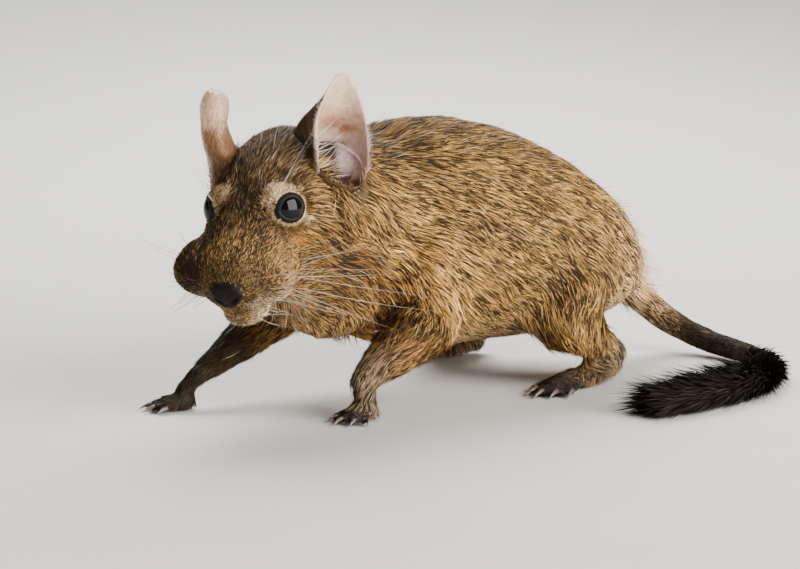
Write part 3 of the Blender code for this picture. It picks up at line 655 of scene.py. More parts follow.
def with_lids(places):
    """The skin by each eye: sunk behind the eye in its opening, with a rounded rim that hugs the
    eye round it, then run out into the brow and cheek."""
    for side in SIDES:
        a, b, c, near = eye_plane(places, side)
        ring = lid_ring(a, b)
        ball = np.sqrt(np.maximum(EYE_RADIUS**2 - np.hypot(a, b) ** 2, 0.4))
        inside = ball - 1.2
        swell = np.sin(np.clip((ring - LID_EDGE) / (1.15 - LID_EDGE), 0, 1) * np.pi * 0.7)
        fold = 0.10 * bell((ring - LID_END - 0.12, 0.05)) * (b > 0)
        rim = ball + 0.08 + 0.24 * swell - fold
        to_rim, to_skin = eased(ring, LID_EDGE - 0.05, LID_EDGE), eased(ring, 1.1, 1.5)
        natural = np.maximum(c, (ball + 0.3) * (1 - to_skin))
        level = toward(toward(inside, rim, to_rim), natural, to_skin)
        close = (c > 0) & (ring < 1.7) & (near > 0)
        shift = np.where(close, level - c, 0)
        places = places + eye_axes(side)[2] * (shift * MM)[:, None]
    return places


def mouth_line(x, out, z):
    """Height over the line of the mouth, and 1 along it up to its corners."""
    return z + 7.2 - 0.9 * eased(out, 0, 6) ** 2, 1 - eased(x, 7, 9.5)


def with_nose(places, normals):
    """The skin of the muzzle: comma-shaped nostrils, a ridge over each, the cleft below the
    nose and the line of the mouth, all pressed in along the normals."""
    x, y, z = in_head(places).T
    out = np.abs(y)
    front = 1 - eased(x, 4, 7)
    lean = 0.55 * (out - 1.9)
    nostril = bell((out - 1.9, 0.85), (z + 1.0 - lean, 0.42))
    ridge = bell((out - 1.8, 1.3), (z - 0.2 - lean, 0.5))
    cleft = bell((y, 0.32)) * eased(-z, 1.2, 2.2) * (1 - eased(-z, 7.0, 7.6))
    line, ends = mouth_line(x, out, z)
    mouth, lip = bell((line, 0.42)) * ends, bell((line - 1.3, 0.9)) * ends
    press = front * (0.95 * nostril - 0.22 * ridge + 0.38 * cleft) + 0.5 * mouth - 0.12 * lip
    return places - normals * (press * MM)[:, None]


def nose_pad(head):
    """1 on the bare pad of the nose, in the head's frame."""
    x, y, z = head.T
    across = np.abs(y) / (3.9 - 0.35 * np.clip(-z, 0, 5))
    high = np.where(z > 0, z / 3.0, -z / 3.4)
    return (1 - eased(np.hypot(across, high), 0.85, 1.12)) * (1 - eased(x, 3.2, 5.5))


def chin_of(lie):
    """1 under the mouth and the front of the jaw."""
    x, _, z = lie.head.T
    return lie.weight("head") * eased(-z, 6.6, 8.8) * (1 - eased(x, 9, 17))


def muzzle_of(lie):
    """1 on the muzzle, in front of the eyes."""
    return lie.weight("head") * (1 - eased(lie.head[:, 0], 7, 14))


def trunk_marks(lie):
    """The coat's base: darker on top of the back, paler at the throat and towards the rump,
    and buff below."""
    c = colours()
    along, rest = lie.shares["trunk"], 1 - lie.weight("head")
    up = lie.normals[:, 2]
    band = np.array(c.back) * (
        0.88 + 0.12 * eased(along, 0.25, 0.45) + 0.55 * eased(along, 0.55, 0.9)
        - 0.38 * eased(up, 0.4, 0.95))[:, None]
    band = mixed(band, RUMP_HAIR, 0.6 * eased(along, 0.58, 0.84))
    throat = eased(-up, -0.3, 0.3) * (1 - eased(along, 0.25, 0.45)) * rest
    band = band * (1 + 0.5 * throat)[:, None]
    low = eased(-up, 0.35, 0.9)
    band = mixed(band, c.belly, 0.6 * low * rest * eased(along, 0.2, 0.4))
    dark = 0.54 + 0.09 * waves(lie.places, 9 * MM, 61) - 0.13 * eased(along, 0.6, 0.9)
    return band, dark * (1 - 0.3 * low)


def face_marks(lie, band, dark):
    """The crown, the cheeks, the muzzle with its darker front, and the shaded jaw. The jaw is
    found by its place alone, because the rear cheek's nearest bones are the trunk's."""
    c = colours()
    x, y, z = lie.head.T
    head, muzzle = lie.weight("head"), muzzle_of(lie)
    crown = head * eased(z, 1, 9) * (1 - eased(np.abs(y), 8, 14) * (1 - eased(z, 8, 13)))
    cheek = head * eased(x, 8, 20) * (1 - eased(z, 2, 8)) * (1 - 0.5 * eased(x, 28, 38))
    front = muzzle * (1 - eased(x, 3.5, 7.5)) * eased(z, -6.5, -5)
    for colour, zone in ((c.cheek, cheek), (c.crown, crown), (c.muzzle, muzzle)):
        band = mixed(band, colour, zone)
    band = band * (1 - 0.45 * front)[:, None]
    jaw = eased(x, 13, 20) * (1 - eased(x, 30, 40)) * eased(-z, -3, 4)
    band = band * (1 - jaw[:, None] * (0.38, 0.43, 0.46))
    return band, dark + 0.16 * crown - 0.06 * cheek + 0.15 * front


def shoulder_painted_light(lie, band, dark):
    """Painted light on the near shoulder: paler hair that lifts the shade where the arm meets
    the chest.
    """
    shoulder = lie.weights["foreleg_left"] * (1 - eased(lie.shares["foreleg_left"], 0.3, 0.6))
    return band * (1 + 0.4 * shoulder)[:, None], dark - 0.14 * shoulder


def mouth_marks(lie, band, dark):
    """The chin, the pale lips and the shaded far side of the muzzle."""
    x, y, z = lie.head.T
    chin, muzzle = chin_of(lie), muzzle_of(lie)
    band = mixed(band, colours().belly, 0.75 * chin)
    lips = muzzle * (1 - eased(x, 7, 11)) * eased(np.abs(y), 2.0, 4.5) * (1 - eased(z, -4, 0))
    band = mixed(band, LIP_HAIR, 0.65 * lips)
    shaded = muzzle * eased(-y, 4, 8)
    return band * (1 - 0.5 * shaded)[:, None], dark * (1 - 0.4 * chin) + 0.15 * shaded


def eye_marks(lie, band, dark):
    """A ragged ring of pale hair round each eye, widest over it and at its lower rear and half
    as strong at the far eye, ochre hair below it, and pale hair at the foot of the ear."""
    c = colours()
    for side in SIDES:
        a, b, _, near = eye_plane(lie.places, side)
        turn = np.arctan2(b, a)
        wide = 0.15 + 0.85 * bell((turn - 1.2, 0.8)) + 0.45 * bell((turn + 2.4, 0.5))
        ragged = lid_ring(a, b) + 0.14 * waves(lie.places, 1.3 * MM, 51)
        pale = near * (1 - eased(ragged, 1.0 + 0.40 * wide, 1.16 + 0.70 * wide))
        pale = pale * (0.5 + 0.5 * np.clip(wide, 0, 1)) * (1.0 if side == "left" else 0.5)
        band = mixed(band, c.cream, pale)
        ochre = near * bell((a - 0.5, 4.0), (b + 6.2, 1.6))
        band = mixed(band, OCHRE_HAIR, 0.8 * ochre)
        back, left, up = (lie.head - on_side(EAR_BOTTOM, side)).T
        patch = bell((back + 2.5, 5.5), (left, 7), (up - 2.0, 6.0)) * lie.weight("head")
        band = mixed(band, c.cream, np.clip(1.1 * patch, 0, 1))
        dark = dark * (1 - 0.85 * pale) * (1 - 0.5 * ochre) * (1 - 0.8 * patch)
    return band, dark


def limb_marks(lie, band, dark):
    """Paler paws with dark toes, the far foreleg in shade, and the tail, which darkens."""
    legs = sum(lie.past(f"foreleg_{side}", 0.7, 1.0) + lie.past(f"hindleg_{side}", 0.6, 0.95)
               for side in SIDES)
    paws = np.clip(lie.weight("forefoot", "hindfoot") + 0.8 * legs, 0, 1)
    toes = toes_of(lie)
    band = mixed(band, colours().paws, paws * (1 - 0.8 * toes))
    band = mixed(band, TOE_HAIR, toes)
    far = lie.past("foreleg_right", 0.3, 0.7) + lie.weights["forefoot_right"]
    band = band * (1 - 0.85 * np.clip(far, 0, 1))[:, None]
    band = mixed(band, TAIL_HAIR, lie.past("tail", 0.1, 0.4))
    return band, toward(dark, 0.30, paws) + 0.2 * toes + 0.25 * lie.weights["tail"]


def markings(lie):
    """Colours at each place of the coat: the pale band, the dark tip, and how much of the hair
    is dark. The zones are soft masks in the head's frame and along the bones, and each is laid
    over the ones before it."""
    band, dark = trunk_marks(lie)
    # Among these zones, the near shoulder's is painted light, and the jaw, the muzzle's far side
    # and the far foreleg get painted shade.
    for add in (face_marks, shoulder_painted_light, mouth_marks, eye_marks, limb_marks):
        band, dark = add(lie, band, dark)
    return band, np.array(colours().dark), np.clip(dark, 0.03, 0.95)


def hair_length(lie):
    """Length of the hair: long on the back and rump, short on the face and the feet."""
    x, _, z = lie.head.T
    length = sizes().hair_length / MM * (1 - 0.3 * eased(-lie.normals[:, 2], 0.2, 0.9))
    length = length + 2.6 * eased(lie.shares["trunk"], 0.84, 0.97)
    head = 1.1 + 1.0 * eased(x, 2, 11) + 0.9 * eased(x, 13, 26) + 1.8 * eased(x, 26, 42)
    head = head + 1.3 * eased(-z, 7.2, 9.5) * (1 - eased(x, 14, 24)) + 1.4 * far_pad(lie.head)
    length = toward(length, head, lie.weight("head"))
    for name, shorter in (
        ("foreleg_left", 0.8), ("foreleg_right", 2.0), ("hindleg_left", 2.0),
        ("hindleg_right", 2.0),
    ):
        leg = 5.8 - shorter * eased(lie.shares[name], 0.2, 0.9)
        length = toward(length, leg, lie.weights[name])
    length = toward(length, 2.8 - 1.7 * toes_of(lie), lie.weight("forefoot", "hindfoot"))
    tail = 4.5 - 2.2 * eased(lie.shares["tail"], 0.05, 0.3)
    length = toward(length, tail, lie.weight("tail"))
    for side in SIDES:
        a, b, _, near = eye_plane(lie.places, side)
        length = toward(length, 1.1, near * (1 - eased(lid_ring(a, b), 1.0, 2.2)))
    return length * MM


def toes_of(lie):
    """How near each place is to the toes, by its share of the way along a foot."""
    return sum(lie.past(name, 0.45, 0.75) for name in CHAINS if "foot" in name)


def bare_skin(lie):
    """0 where no hair grows: the pad of the nose, the rims of the lids and inside the ears."""
    grows = 1 - eased(nose_pad(lie.head), 0.75, 1.0)
    for side in SIDES:
        a, b, c, near = eye_plane(lie.places, side)
        grows = grows * np.where((near > 0) & (c > 0), eased(lid_ring(a, b), 0.92, 0.98), 1)
        grows = grows * (1 - inside_ear(lie.head, side, 0.07))
    return grows


def ear_front(side):
    """1 where the way across the ear points to its front edge, else -1."""
    return 1 if ear_axes(side)[3][0] < 0 else -1


def ear_axes(side):
    """The bottom of the ear's opening, the way to its tip, the way it faces and across it."""
    bottom = on_side(EAR_BOTTOM, side)
    rise = on_side(EAR_TIPS[side], side) - bottom
    axis = unit(rise)
    facing = on_side(EAR_FACING[side], side)
    facing = unit(facing - axis * dot(facing, axis))
    return bottom, rise, facing, np.cross(facing, axis)


def ear_arc(side, share):
    """Radius of the arc that the ear's middle surface follows across, its half angle, and how
    far the rounded outline leaves it open, at shares of the way from bottom to tip."""
    root_roll, tip_roll = EAR_ROLLS[side]
    roll = np.radians(root_roll + (tip_roll - root_roll) * eased(share, *EAR_ROLL_CHANGE[side]))
    outline = np.maximum(1 - np.abs(2 * share - 1) ** EAR_ROUNDNESS, 0) ** (1 / EAR_ROUNDNESS)
    radius = EAR_HALF_WIDTH * outline * (1 + EAR_TAPER * (EAR_WIDEST - share)) / np.sin(roll)
    return radius, roll, outline


def ear_points(side, share, run, wall):
    """Points of the ear in the head's frame: share of the way to its tip, run from rim to rim
    as -1 to 1, and a wall's distance out of the middle surface. Across, that surface is an arc
    behind the opening. The right ear bows forward, and the front edges are folded outwards."""
    bottom, rise, facing, across = ear_axes(side)
    radius, roll, outline = ear_arc(side, share)
    front, turn = ear_front(side), roll * run
    fold = EAR_FOLD * eased(share, *EAR_FOLD_START) * (1 - eased(share, *EAR_FOLD_END))
    fold = front * fold * bell((run * front - 0.55, 0.33))
    bow = EAR_BOW[side] * np.sin(np.pi * share**2.2)
    ripple = 0.25 * np.sin(9 * share + 2 * run) * outline * np.abs(run)
    aside = (radius + wall) * np.sin(turn) + fold
    depth = radius * np.cos(roll) - (radius + wall) * np.cos(turn) + bow + ripple
    return (
        bottom + rise * share[..., None] + across * aside[..., None]
        + facing * depth[..., None]
    )


def inside_ear(head, side, margin):
    """1 for points of the head's frame that lie in the cup of an ear, with a margin round it
    as a share of its size."""
    bottom, rise, facing, across = ear_axes(side)
    away = head - bottom
    share = dot(away, unit(rise)) / np.linalg.norm(rise)
    radius, roll, _ = ear_arc(side, np.clip(share, 0.10, 0.98))
    out = dot(away, facing)
    ring = np.hypot(dot(away, across), out - radius * np.cos(roll)) / radius
    within = (1 - eased(ring - margin, 0.94, 1.0)) * (1 - eased(out, 0.3, 1.3))
    return within * eased(share + margin / 3, -0.03, 0.0) * (share < 1)


def make_skin():
    """One skin over all the flesh, with fine faces at the eyes and nose, sunk by the depth of
    the coat and shaped into lids, nostrils and mouth."""
    skin = rough_skin()
    fine_where(skin, near_eyes, 4)
    fine_where(skin, near_nose, 2)
    mesh = skin.data
    places, corners, edges = places_of(mesh), triangles_of(mesh), edges_of(mesh)
    places = relaxed(places, edges, 0.5 * (near_eyes(places) | near_nose(places)), 6)
    normals = normals_of(places, corners)
    depth = depth_at(Lie(places, normals)) + SWELL
    depth = depth * (1 - 0.8 * nose_pad(in_head(places)))
    places = relaxed(places - normals * depth[:, None], edges, 0.4, 2)
    places[:, 2] = np.maximum(places[:, 2], 0.1 * MM)
    places = with_lids(places)
    places = with_nose(places, normals_of(places, corners))
    mesh.vertices.foreach_set("co", places.astype(np.float32).ravel())
    mesh.polygons.foreach_set("use_smooth", np.ones(len(mesh.polygons), bool))
    paint(mesh, skin_colours(Lie(places, normals_of(places, corners))))
    mesh.update()
    return skin


def skin_colours(lie):
    """The coat's markings on the skin below it, with dark lids, nose and mouth, a painted sheen
    along the lids' edge by the eye, and the bottoms of the ears' cups, lilac behind with painted
    shade in front and lowest down."""
    c = colours()
    band, dark, share = markings(lie)
    colour = mixed(band * 0.55, dark, np.clip(share + 0.25, 0, 1))
    colour = mixed(colour, c.nose, nose_pad(lie.head))
    x, y, z = lie.head.T
    line, ends = mouth_line(x, np.abs(y), z)
    colour = mixed(colour, (0.02, 0.012, 0.01), bell((line, 0.45)) * ends)
    for side in SIDES:
        a, b, out, near = eye_plane(lie.places, side)
        ring, on = lid_ring(a, b), (near > 0) & (out > 0)
        colour = mixed(colour, c.lid, on * (1 - eased(ring, 1.0, 1.08)))
        # A painted sheen: a thin bluish-grey line on the lids' rim by the eye, stronger low on
        # the eye, where the wet edge would catch the light.
        wet = on * bell((ring - LID_EDGE - 0.04, 0.025)) * (0.3 + 0.7 * (b < 0.5))
        colour = mixed(colour, (0.09, 0.095, 0.105), 0.3 * wet)
        bottom, rise, _, across = ear_axes(side)
        ahead = dot(lie.head - bottom, across * ear_front(side)) / EAR_HALF_WIDTH
        up = dot(lie.head - bottom, rise) / dot(rise, rise)
        # Painted shade in the ear's cup: dark towards its front and at its very bottom, over the
        # skin's own pale lilac behind.
        hollow = mixed((0.60, 0.45, 0.42), EAR_HOLLOW_FRONT_SHADE, eased(ahead, -0.5, -0.2))
        hollow = mixed(hollow, (0.06, 0.035, 0.028), 1 - eased(up, 0.10, 0.20))
        colour = mixed(colour, hollow, inside_ear(lie.head, side, 0.04))
    return colour


def scattered(places, corners, weight, count, rng):
    """Random points on triangles, as many by area times weight: which triangle each lies on,
    and a function that gives the mesh's values there. They are drawn in order, so that they
    spread evenly over the mesh."""
    a, b, c = places[corners].transpose(1, 0, 2)
    area = np.linalg.norm(np.cross(b - a, c - a), axis=1) / 2
    total = np.cumsum(area * weight[corners].mean(1))
    draws = (np.arange(count) + rng.random(count)) / count * total[-1]
    face = np.minimum(np.searchsorted(total, draws), len(corners) - 1)
    u, v = rng.random((2, count))
    u, v = np.where(u + v > 1, 1 - u, u), np.where(u + v > 1, 1 - v, v)
    share = np.stack([1 - u - v, u, v], -1)

    def at_roots(values):
        return np.einsum("nk,nk...->n...", share, values[corners[face]])

    return face, at_roots


def tuft_width(length):
    """Width of tufts by their length: fine where the hair is short."""
    return sizes().tuft_width * np.clip(0.35 + 0.65 * length / (6 * MM), 0.45, 1.0)


def coat_weight(lie, length):
    """How thickly tufts are set: as many as cover the skin equally, by their length and width,
    with more on the head and fewer on the tail, the feet and the belly."""
    cover = 1 / (np.clip(length, 0.8 * MM, 12 * MM) * tuft_width(length))
    more = 1 + 0.8 * lie.weight("head") - 0.45 * lie.weight("tail", "forefoot", "hindfoot")
    more = more * (1 - 0.4 * eased(-lie.normals[:, 2], 0.5, 0.95) * lie.weight("trunk"))
    return (bare_skin(lie) > 0.5) * cover * more


def tuft_points(root, way, normal, length, width, lift, bend, rng, bent=0):
    """Five points of each flat tapered tuft: two at its root, two past its middle and the tip.
    A tuft leaves its root at an angle to the skin and bends back along it, as a parabola, and
    follows the skin's own bend, given in 1/m."""
    count = len(root)
    twist = rng.uniform(-0.5, 0.5, count)
    across = unit(np.cross(way, normal))
    across = across * np.cos(twist)[:, None] + normal * np.sin(twist)[:, None]
    s = STATIONS[None, :, None]
    rise = np.tan(lift)[:, None, None] * (s - bend * s**2)
    rise = rise - (np.where(bent > 0, 0.7, 1.1) * bent * length / 2)[:, None, None] * s**2
    spine = root[:, None] + length[:, None, None] * (way[:, None] * s + normal[:, None] * rise)
    half = (across * width[:, None] / 2)[:, None] * TAPER[None, :, None]
    pairs = np.stack([spine[:, :2] - half, spine[:, :2] + half], 2).reshape(count, 4, 3)
    points = np.concatenate([pairs, spine[:, 2:]], 1)
    points[..., 2] = np.maximum(points[..., 2], LOWEST)
    return points


def tuft_faces(count):
    """A quad and the tip's triangle for each tuft of five points."""
    start = 5 * np.arange(count)[:, None]
    return start + (0, 1, 3, 2), start + (2, 3, 4)


def on_map(across, along):
    """Shares across and along as places on the OFBake map, with a margin round it."""
    return 0.02 + 0.96 * np.stack([across, along], -1)


def tuft_patches(at):
    """Each tuft's patch on the OFBake map: a small upright strip round its root's place."""
    size = 0.0015
    wide = np.array((-1, 1, -1, 1, 0)) * size * 0.5
    high = np.array((-1, -1, 0.2, 0.2, 1.0)) * size
    return at[:, None] + np.stack([wide, high], -1)[None]


def unwrapped(places, bones):
    """Places on an unwrap of a limb's shape: the share of the way round and along its bones."""
    share, _, way, offset = along_chain(places, bones)
    over = np.where(np.abs(way[:, 2:]) > 0.8, (1.0, 0, 0), (0, 0, 1.0))
    across = unit(np.cross(over, way))
    over = np.cross(way, across)
    angle = np.arctan2(dot(offset, across), dot(offset, over))
    return on_map(angle / math.tau + 0.5, share)


def make_tufts(name, points, uv, colour):
    """A coat piece from arrays: tuft points (n, 5, 3), places on the map (n, 2) and colours at
    the points (n, 5, 3)."""
    quads, tips = tuft_faces(len(points))
    made = new_mesh(name, points.reshape(-1, 3), [quads, tips], colour.reshape(-1, 3))
    corners = np.concatenate([quads.ravel(), tips.ravel()])
    layer = made.data.uv_layers.new(name="OFBake")
    patches = tuft_patches(uv).reshape(-1, 2)[corners]
    layer.data.foreach_set("uv", patches.astype(np.float32).ravel())
    return made


def hair_colours(band, dark, share, guard, shade, rng):
    """Colours along agouti hair: a dark root, a pale band past the middle and a dark tip.
    Guard hairs are dark nearly all along."""
    count = len(band)
    tip = rng.uniform(0.15, 1.15, count)
    pale = np.stack([
        np.full(count, 0.03), rng.uniform(0.7, 1.15, count),
        np.maximum(1 - tip * np.sqrt(share), 0)], -1)
    pale = pale * np.where(guard, 0.06, 1.0)[:, None]
    lit = (band * shade[:, None])[:, None]
    mix = dark + (lit - dark) * pale[..., None]
    return mix[:, (0, 0, 1, 1, 2)]


def make_coat(skin):
    """The coat: clumps of thin tufts over the skin, in one piece for each part of the body."""
    mesh = skin.data
    places, corners, edges = places_of(mesh), triangles_of(mesh), edges_of(mesh)
    normals = unit(relaxed(normals_of(places, corners), edges, 0.5, 3))
    lie = Lie(places, normals)
    smooth = unit(relaxed(normals, edges, 0.5, 8))
    bent = bent_along(places, smooth, lie.flow, edges)
    length = hair_length(lie)
    band, dark, share = markings(lie)
    rng = np.random.default_rng(11)
    clumps = sizes().tufts // PER_CLUMP
    face, at_roots = scattered(places, corners, coat_weight(lie, length), clumps, rng)
    root, normal, way = at_roots(places), unit(at_roots(normals)), unit(at_roots(lie.flow))
    long, pale, darkness = at_roots(length), at_roots(band), at_roots(share)
    limb = lie.part[corners[face, 0]]
    # Each clump's own lean, length, shade and lift.
    sway = rng.normal(0, 0.12, clumps) + 0.18 * waves(root, 9 * MM, 3)
    way = unit(way + np.cross(normal, way) * sway[:, None])
    long = long * rng.uniform(0.75, 1.2, clumps)
    shade = np.exp(rng.normal(0, 0.20, clumps) + 0.14 * waves(root, 4 * MM, 4))
    raised = np.radians(13 + 4 * waves(root, 8 * MM, 5)) + rng.normal(0, 0.03, clumps)
    raised = raised + 0.15 * at_roots(lie.weights["foreleg_left"] + far_pad(lie.head))
    in_dark = rng.random(clumps)
    # Each tuft's own place in its clump: the tufts of a clump lean together at their tips.
    each = np.repeat(np.arange(clumps), PER_CLUMP)
    count = len(each)
    spread = np.clip(long[each] * 0.07, 0.10 * MM, 0.5 * MM)
    turn, reach = rng.uniform(0, math.tau, count), np.sqrt(rng.random(count)) * spread
    side = np.cross(normal, way)
    offset = (way[each] * np.cos(turn)[:, None] + side[each] * np.sin(turn)[:, None]
              ) * reach[:, None]
    own = unit(way[each] - offset * (0.45 / long[each])[:, None]
               + side[each] * rng.normal(0, 0.08, (count, 1)))
    lengths = long[each] * rng.uniform(0.75, 1.12, count)
    width = tuft_width(long[each]) * rng.uniform(0.7, 1.2, count)
    lift = np.clip(raised[each] + rng.normal(0, 0.05, count), 0.06, 0.5)
    # A few long fine hairs stand out of the coat, most of all behind the rump.
    behind = at_roots(eased(lie.shares["trunk"], 0.62, 0.80)) * eased(normal[:, 0], 0.3, 0.6)
    odds = 0.3 + 0.7 * eased(normal[:, 2], 0.3, 0.8) + 4.0 * behind
    odds = odds + 2.0 * eased(at_roots(lie.shares["trunk"]), 0.8, 0.95)
    odds = odds * eased(long, 2.2 * MM, 5.0 * MM) + 3.0 * at_roots(chin_of(lie))
    odds = odds + 2.0 * at_roots(lie.weight("head") * eased(lie.head[:, 2], 12, 16))
    stray = rng.random(count) < 0.010 * odds[each]
    lengths = lengths * np.where(stray, rng.uniform(1.15, 1.7, count), 1)
    lift = np.where(stray, rng.uniform(0.35, 0.75, count) + 0.2 * behind[each], lift)
    lengths = np.minimum(lengths, LONGEST)
    width = width * np.where(stray, 0.5 + 0.5 * behind[each], 1)
    sunk = 0.02 * MM + 0.03 * lengths
    points = tuft_points(
        root[each] + offset - normal[each] * sunk[:, None], own, normal[each], lengths, width,
        lift, 0.55, rng, at_roots(bent)[each],
    )
    guard = np.where(rng.random(count) < 0.4, in_dark[each], rng.random(count)) < darkness[each]
    lighter = stray * (rng.uniform(-0.2, 0.8, count) - 0.5 * behind[each]).clip(0)
    pale = toward(pale[each], 0.8, lighter[:, None])
    tint = hair_colours(
        pale, dark, darkness[each] * ~stray, guard & ~stray,
        shade[each] * np.exp(rng.normal(0, 0.18, count)), rng,
    )
    made = []
    for index, name in enumerate(CHAINS):
        for piece, chosen in pieces_of(name, limb[each] == index, root[each]):
            if chosen.any():
                uv = unwrapped(root[each][chosen], CHAINS[name])
                made.append(make_tufts(f"coat_{piece}", points[chosen], uv, tint[chosen]))
    return made


def pieces_of(name, chosen, root):
    """Parts of the coat under the limit of faces: the head and trunk are split by side, and
    the trunk also along its length."""
    if name == "head":
        x, y, _ = in_head(root).T
        zone = np.searchsorted((13, 24), x)
        for label, half in (("left", y >= 0), ("right", y < 0)):
            for k, place in enumerate(("muzzle", "face", "head")):
                yield f"{place}_{label}", chosen & half & (zone == k)
    elif name == "trunk":
        zone = np.searchsorted(SHIFT[0] + np.array((-8, 18, 42)) * MM, root[:, 0])
        for label, half in (("left", root[:, 1] < SHIFT[1]), ("right", root[:, 1] >= SHIFT[1])):
            for k, place in enumerate(("neck", "chest", "belly", "rump")):
                yield f"{place}_{label}", chosen & half & (zone == k)
    else:
        yield name, chosen


def ear_surface(side):
    """The ear as one closed sheet: its points in the head's frame, each one's share, run and
    face, 1 outside, and the quads. Each row runs along the outer face and back along the inner
    one, with rounded rims."""
    share = ((1 - np.cos(np.pi * np.arange(EAR_ROWS) / (EAR_ROWS - 1))) / 2)[:, None]
    run = np.linspace(-1, 1, EAR_COLUMNS)
    run = np.concatenate([run, run[-2:0:-1]])[None]
    face = np.concatenate([np.ones(EAR_COLUMNS), -np.ones(EAR_COLUMNS - 2)])[None]
    share, run, face = np.broadcast_arrays(share, run, face)
    rim = np.sqrt(np.maximum(1 - np.abs(run) ** 6, 0))
    outline = ear_arc(side, share)[2]
    wall = face * rim * EAR_THICKNESS / 2 * (0.25 + 0.75 * np.sqrt(outline))
    return ear_points(side, share, run, wall), share, run, face, grid_faces(*share.shape)


def ear_colours(side, share, run, face):
    """Inside, pale skin over a redder, mottled middle, lilac behind, and painted shade in front
    at the bottom and at the cup's foot. Outside, a pale top over brown, with painted shade on
    the near ear's folded front edge. The rims are pale."""
    c = colours()
    ahead = run * ear_front(side)
    spots = waves(np.stack([share * 26, ahead * 8, 0 * share], -1).reshape(-1, 3), 3.5, 41)
    spots = np.clip(0.5 + 0.6 * spots.reshape(share.shape), 0, 1)
    inside = np.tile(np.array(c.ear_inside), (*share.shape, 1))
    inside = inside * (0.90 + 0.16 * spots)[..., None]
    red = bell((share - 0.60, 0.06), (ahead + 0.05, 0.35))
    inside = mixed(inside, (0.50, 0.17, 0.09), 0.8 * red)
    brown = bell((share - 0.53, 0.08), (ahead + 0.35, 0.45))
    inside = mixed(inside, (0.28, 0.12, 0.05), 0.9 * brown * eased(spots, 0.1, 0.6))
    inside = mixed(inside, EAR_HOLLOW_REAR, 1 - eased(share + 0.05 * spots, 0.42, 0.54))
    # Painted shade low in the cup: dark towards the front, and darker still at its foot.
    hollow = (1 - eased(share + 0.06 * spots, 0.38, 0.52)) * eased(ahead, -0.55, -0.30)
    inside = mixed(inside, EAR_HOLLOW_FRONT_SHADE, hollow)
    inside = mixed(inside, (0.075, 0.035, 0.03), 1 - eased(share, 0.06, 0.15))
    outside = np.tile(np.array(c.ear_outside), (*share.shape, 1))
    outside = mixed(outside, (0.64, 0.43, 0.29), eased(share - 0.08 * spots, 0.60, 0.76))
    outside = mixed(outside, (0.10, 0.055, 0.030), 1 - eased(share, 0.25, 0.50))
    outside = mixed(outside, (0.42, 0.26, 0.12), 1 - eased(share, 0.12, 0.30))
    # Painted shade on the folded front edge of the near ear only.
    fold = eased(ahead, 0.0, 0.4) * eased(share, 0.20, 0.40) * (1 - eased(share, 0.84, 0.93))
    fold = fold * (side == "left")
    outside = mixed(outside, (0.055, 0.030, 0.018), fold)
    colour = np.where((face > 0)[..., None], outside, inside)
    rim = eased(np.abs(run), 0.92, 0.99)
    return mixed(colour, (0.78, 0.60, 0.46), rim * eased(share, 0.1, 0.4))


def make_ear(side):
    points, share, run, face, quads = ear_surface(side)
    tint = ear_colours(side, share, run, face)
    return facing_out(new_mesh(
        f"ear_{side}_skin", at_head(points.reshape(-1, 3)), [quads], tint.reshape(-1, 3)))


def make_ear_fur(side):
    """Short hair on the back of the ear, thick at its foot and thin towards the rim."""
    points, share, run, face, quads = ear_surface(side)
    places = at_head(points.reshape(-1, 3))
    corners = np.concatenate([quads[:, :3], quads[:, [0, 2, 3]]])
    normals = normals_of(places, corners)
    bottom, rise = ear_axes(side)[:2]
    middle = at_head(bottom + rise * share.reshape(-1, 1))
    if dot(normals, places - middle)[face.ravel() > 0].mean() < 0:
        normals = -normals
    s, r, f = share.ravel(), run.ravel(), face.ravel()
    weight = (f > 0) * (np.abs(r) < 0.97) * (1.3 - s)
    rng = np.random.default_rng(23 if side == "left" else 29)
    count = EAR_TUFTS
    _, at_roots = scattered(places, corners, weight, count, rng)
    normal = unit(at_roots(normals))
    up = unit(rise @ HEAD_AXES)
    way = unit(up - normal * dot(up, normal)[:, None] + rng.normal(0, 0.15, (count, 3)))
    height, across = at_roots(s), at_roots(r)
    length = (2.4 - 1.5 * eased(height, 0.2, 0.7)) * rng.uniform(0.7, 1.2, count) * MM
    tint = ear_colours(side, height[:, None], across[:, None], np.ones((count, 1)))[:, 0]
    tuft = tuft_points(
        at_roots(places), way, normal, length, np.full(count, 0.11 * MM),
        np.radians(rng.uniform(8, 20, count)), 0.6, rng,
    )
    shade = np.exp(rng.normal(0, 0.25, count))
    tint = np.repeat((tint * shade[:, None])[:, None], 5, 1)
    return make_tufts(f"coat_ear_{side}", tuft, on_map((across + 1) / 2, height), tint)


def strands(name, rows, radii, tint, sides=4):
    """Thin round hairs in one mesh: rows of places (n, k, 3), radii (n, k) and colours."""
    count, steps = radii.shape
    way = np.gradient(rows, axis=1)
    across = unit(np.cross(way, (0.13, 0.21, 1.0)))
    over = unit(np.cross(way, across))
    turn = math.tau * np.arange(sides) / sides
    ring = (
        across[:, :, None] * np.cos(turn)[:, None] + over[:, :, None] * np.sin(turn)[:, None]
    )
    points = rows[:, :, None] + ring * radii[:, :, None, None]
    start = (np.arange(count) * steps * sides)[:, None]
    walls = (grid_faces(steps, sides)[None] + start[..., None]).reshape(-1, 4)
    roots = start + np.arange(sides)[::-1]
    tips = start + (steps - 1) * sides + np.arange(sides)
    tint = np.repeat(tint, sides, axis=1).reshape(-1, 3)
    return facing_out(new_mesh(name, points.reshape(-1, 3), [walls, roots, tips], tint))


def hair_paths(root, way, droop, length, steps):
    """Places along hairs that start along way and bend by droop, as parabolas."""
    s = np.linspace(0, 1, steps)[None, :, None]
    return root[:, None] + length[:, None, None] * (way[:, None] * s + droop[:, None] * s**2)


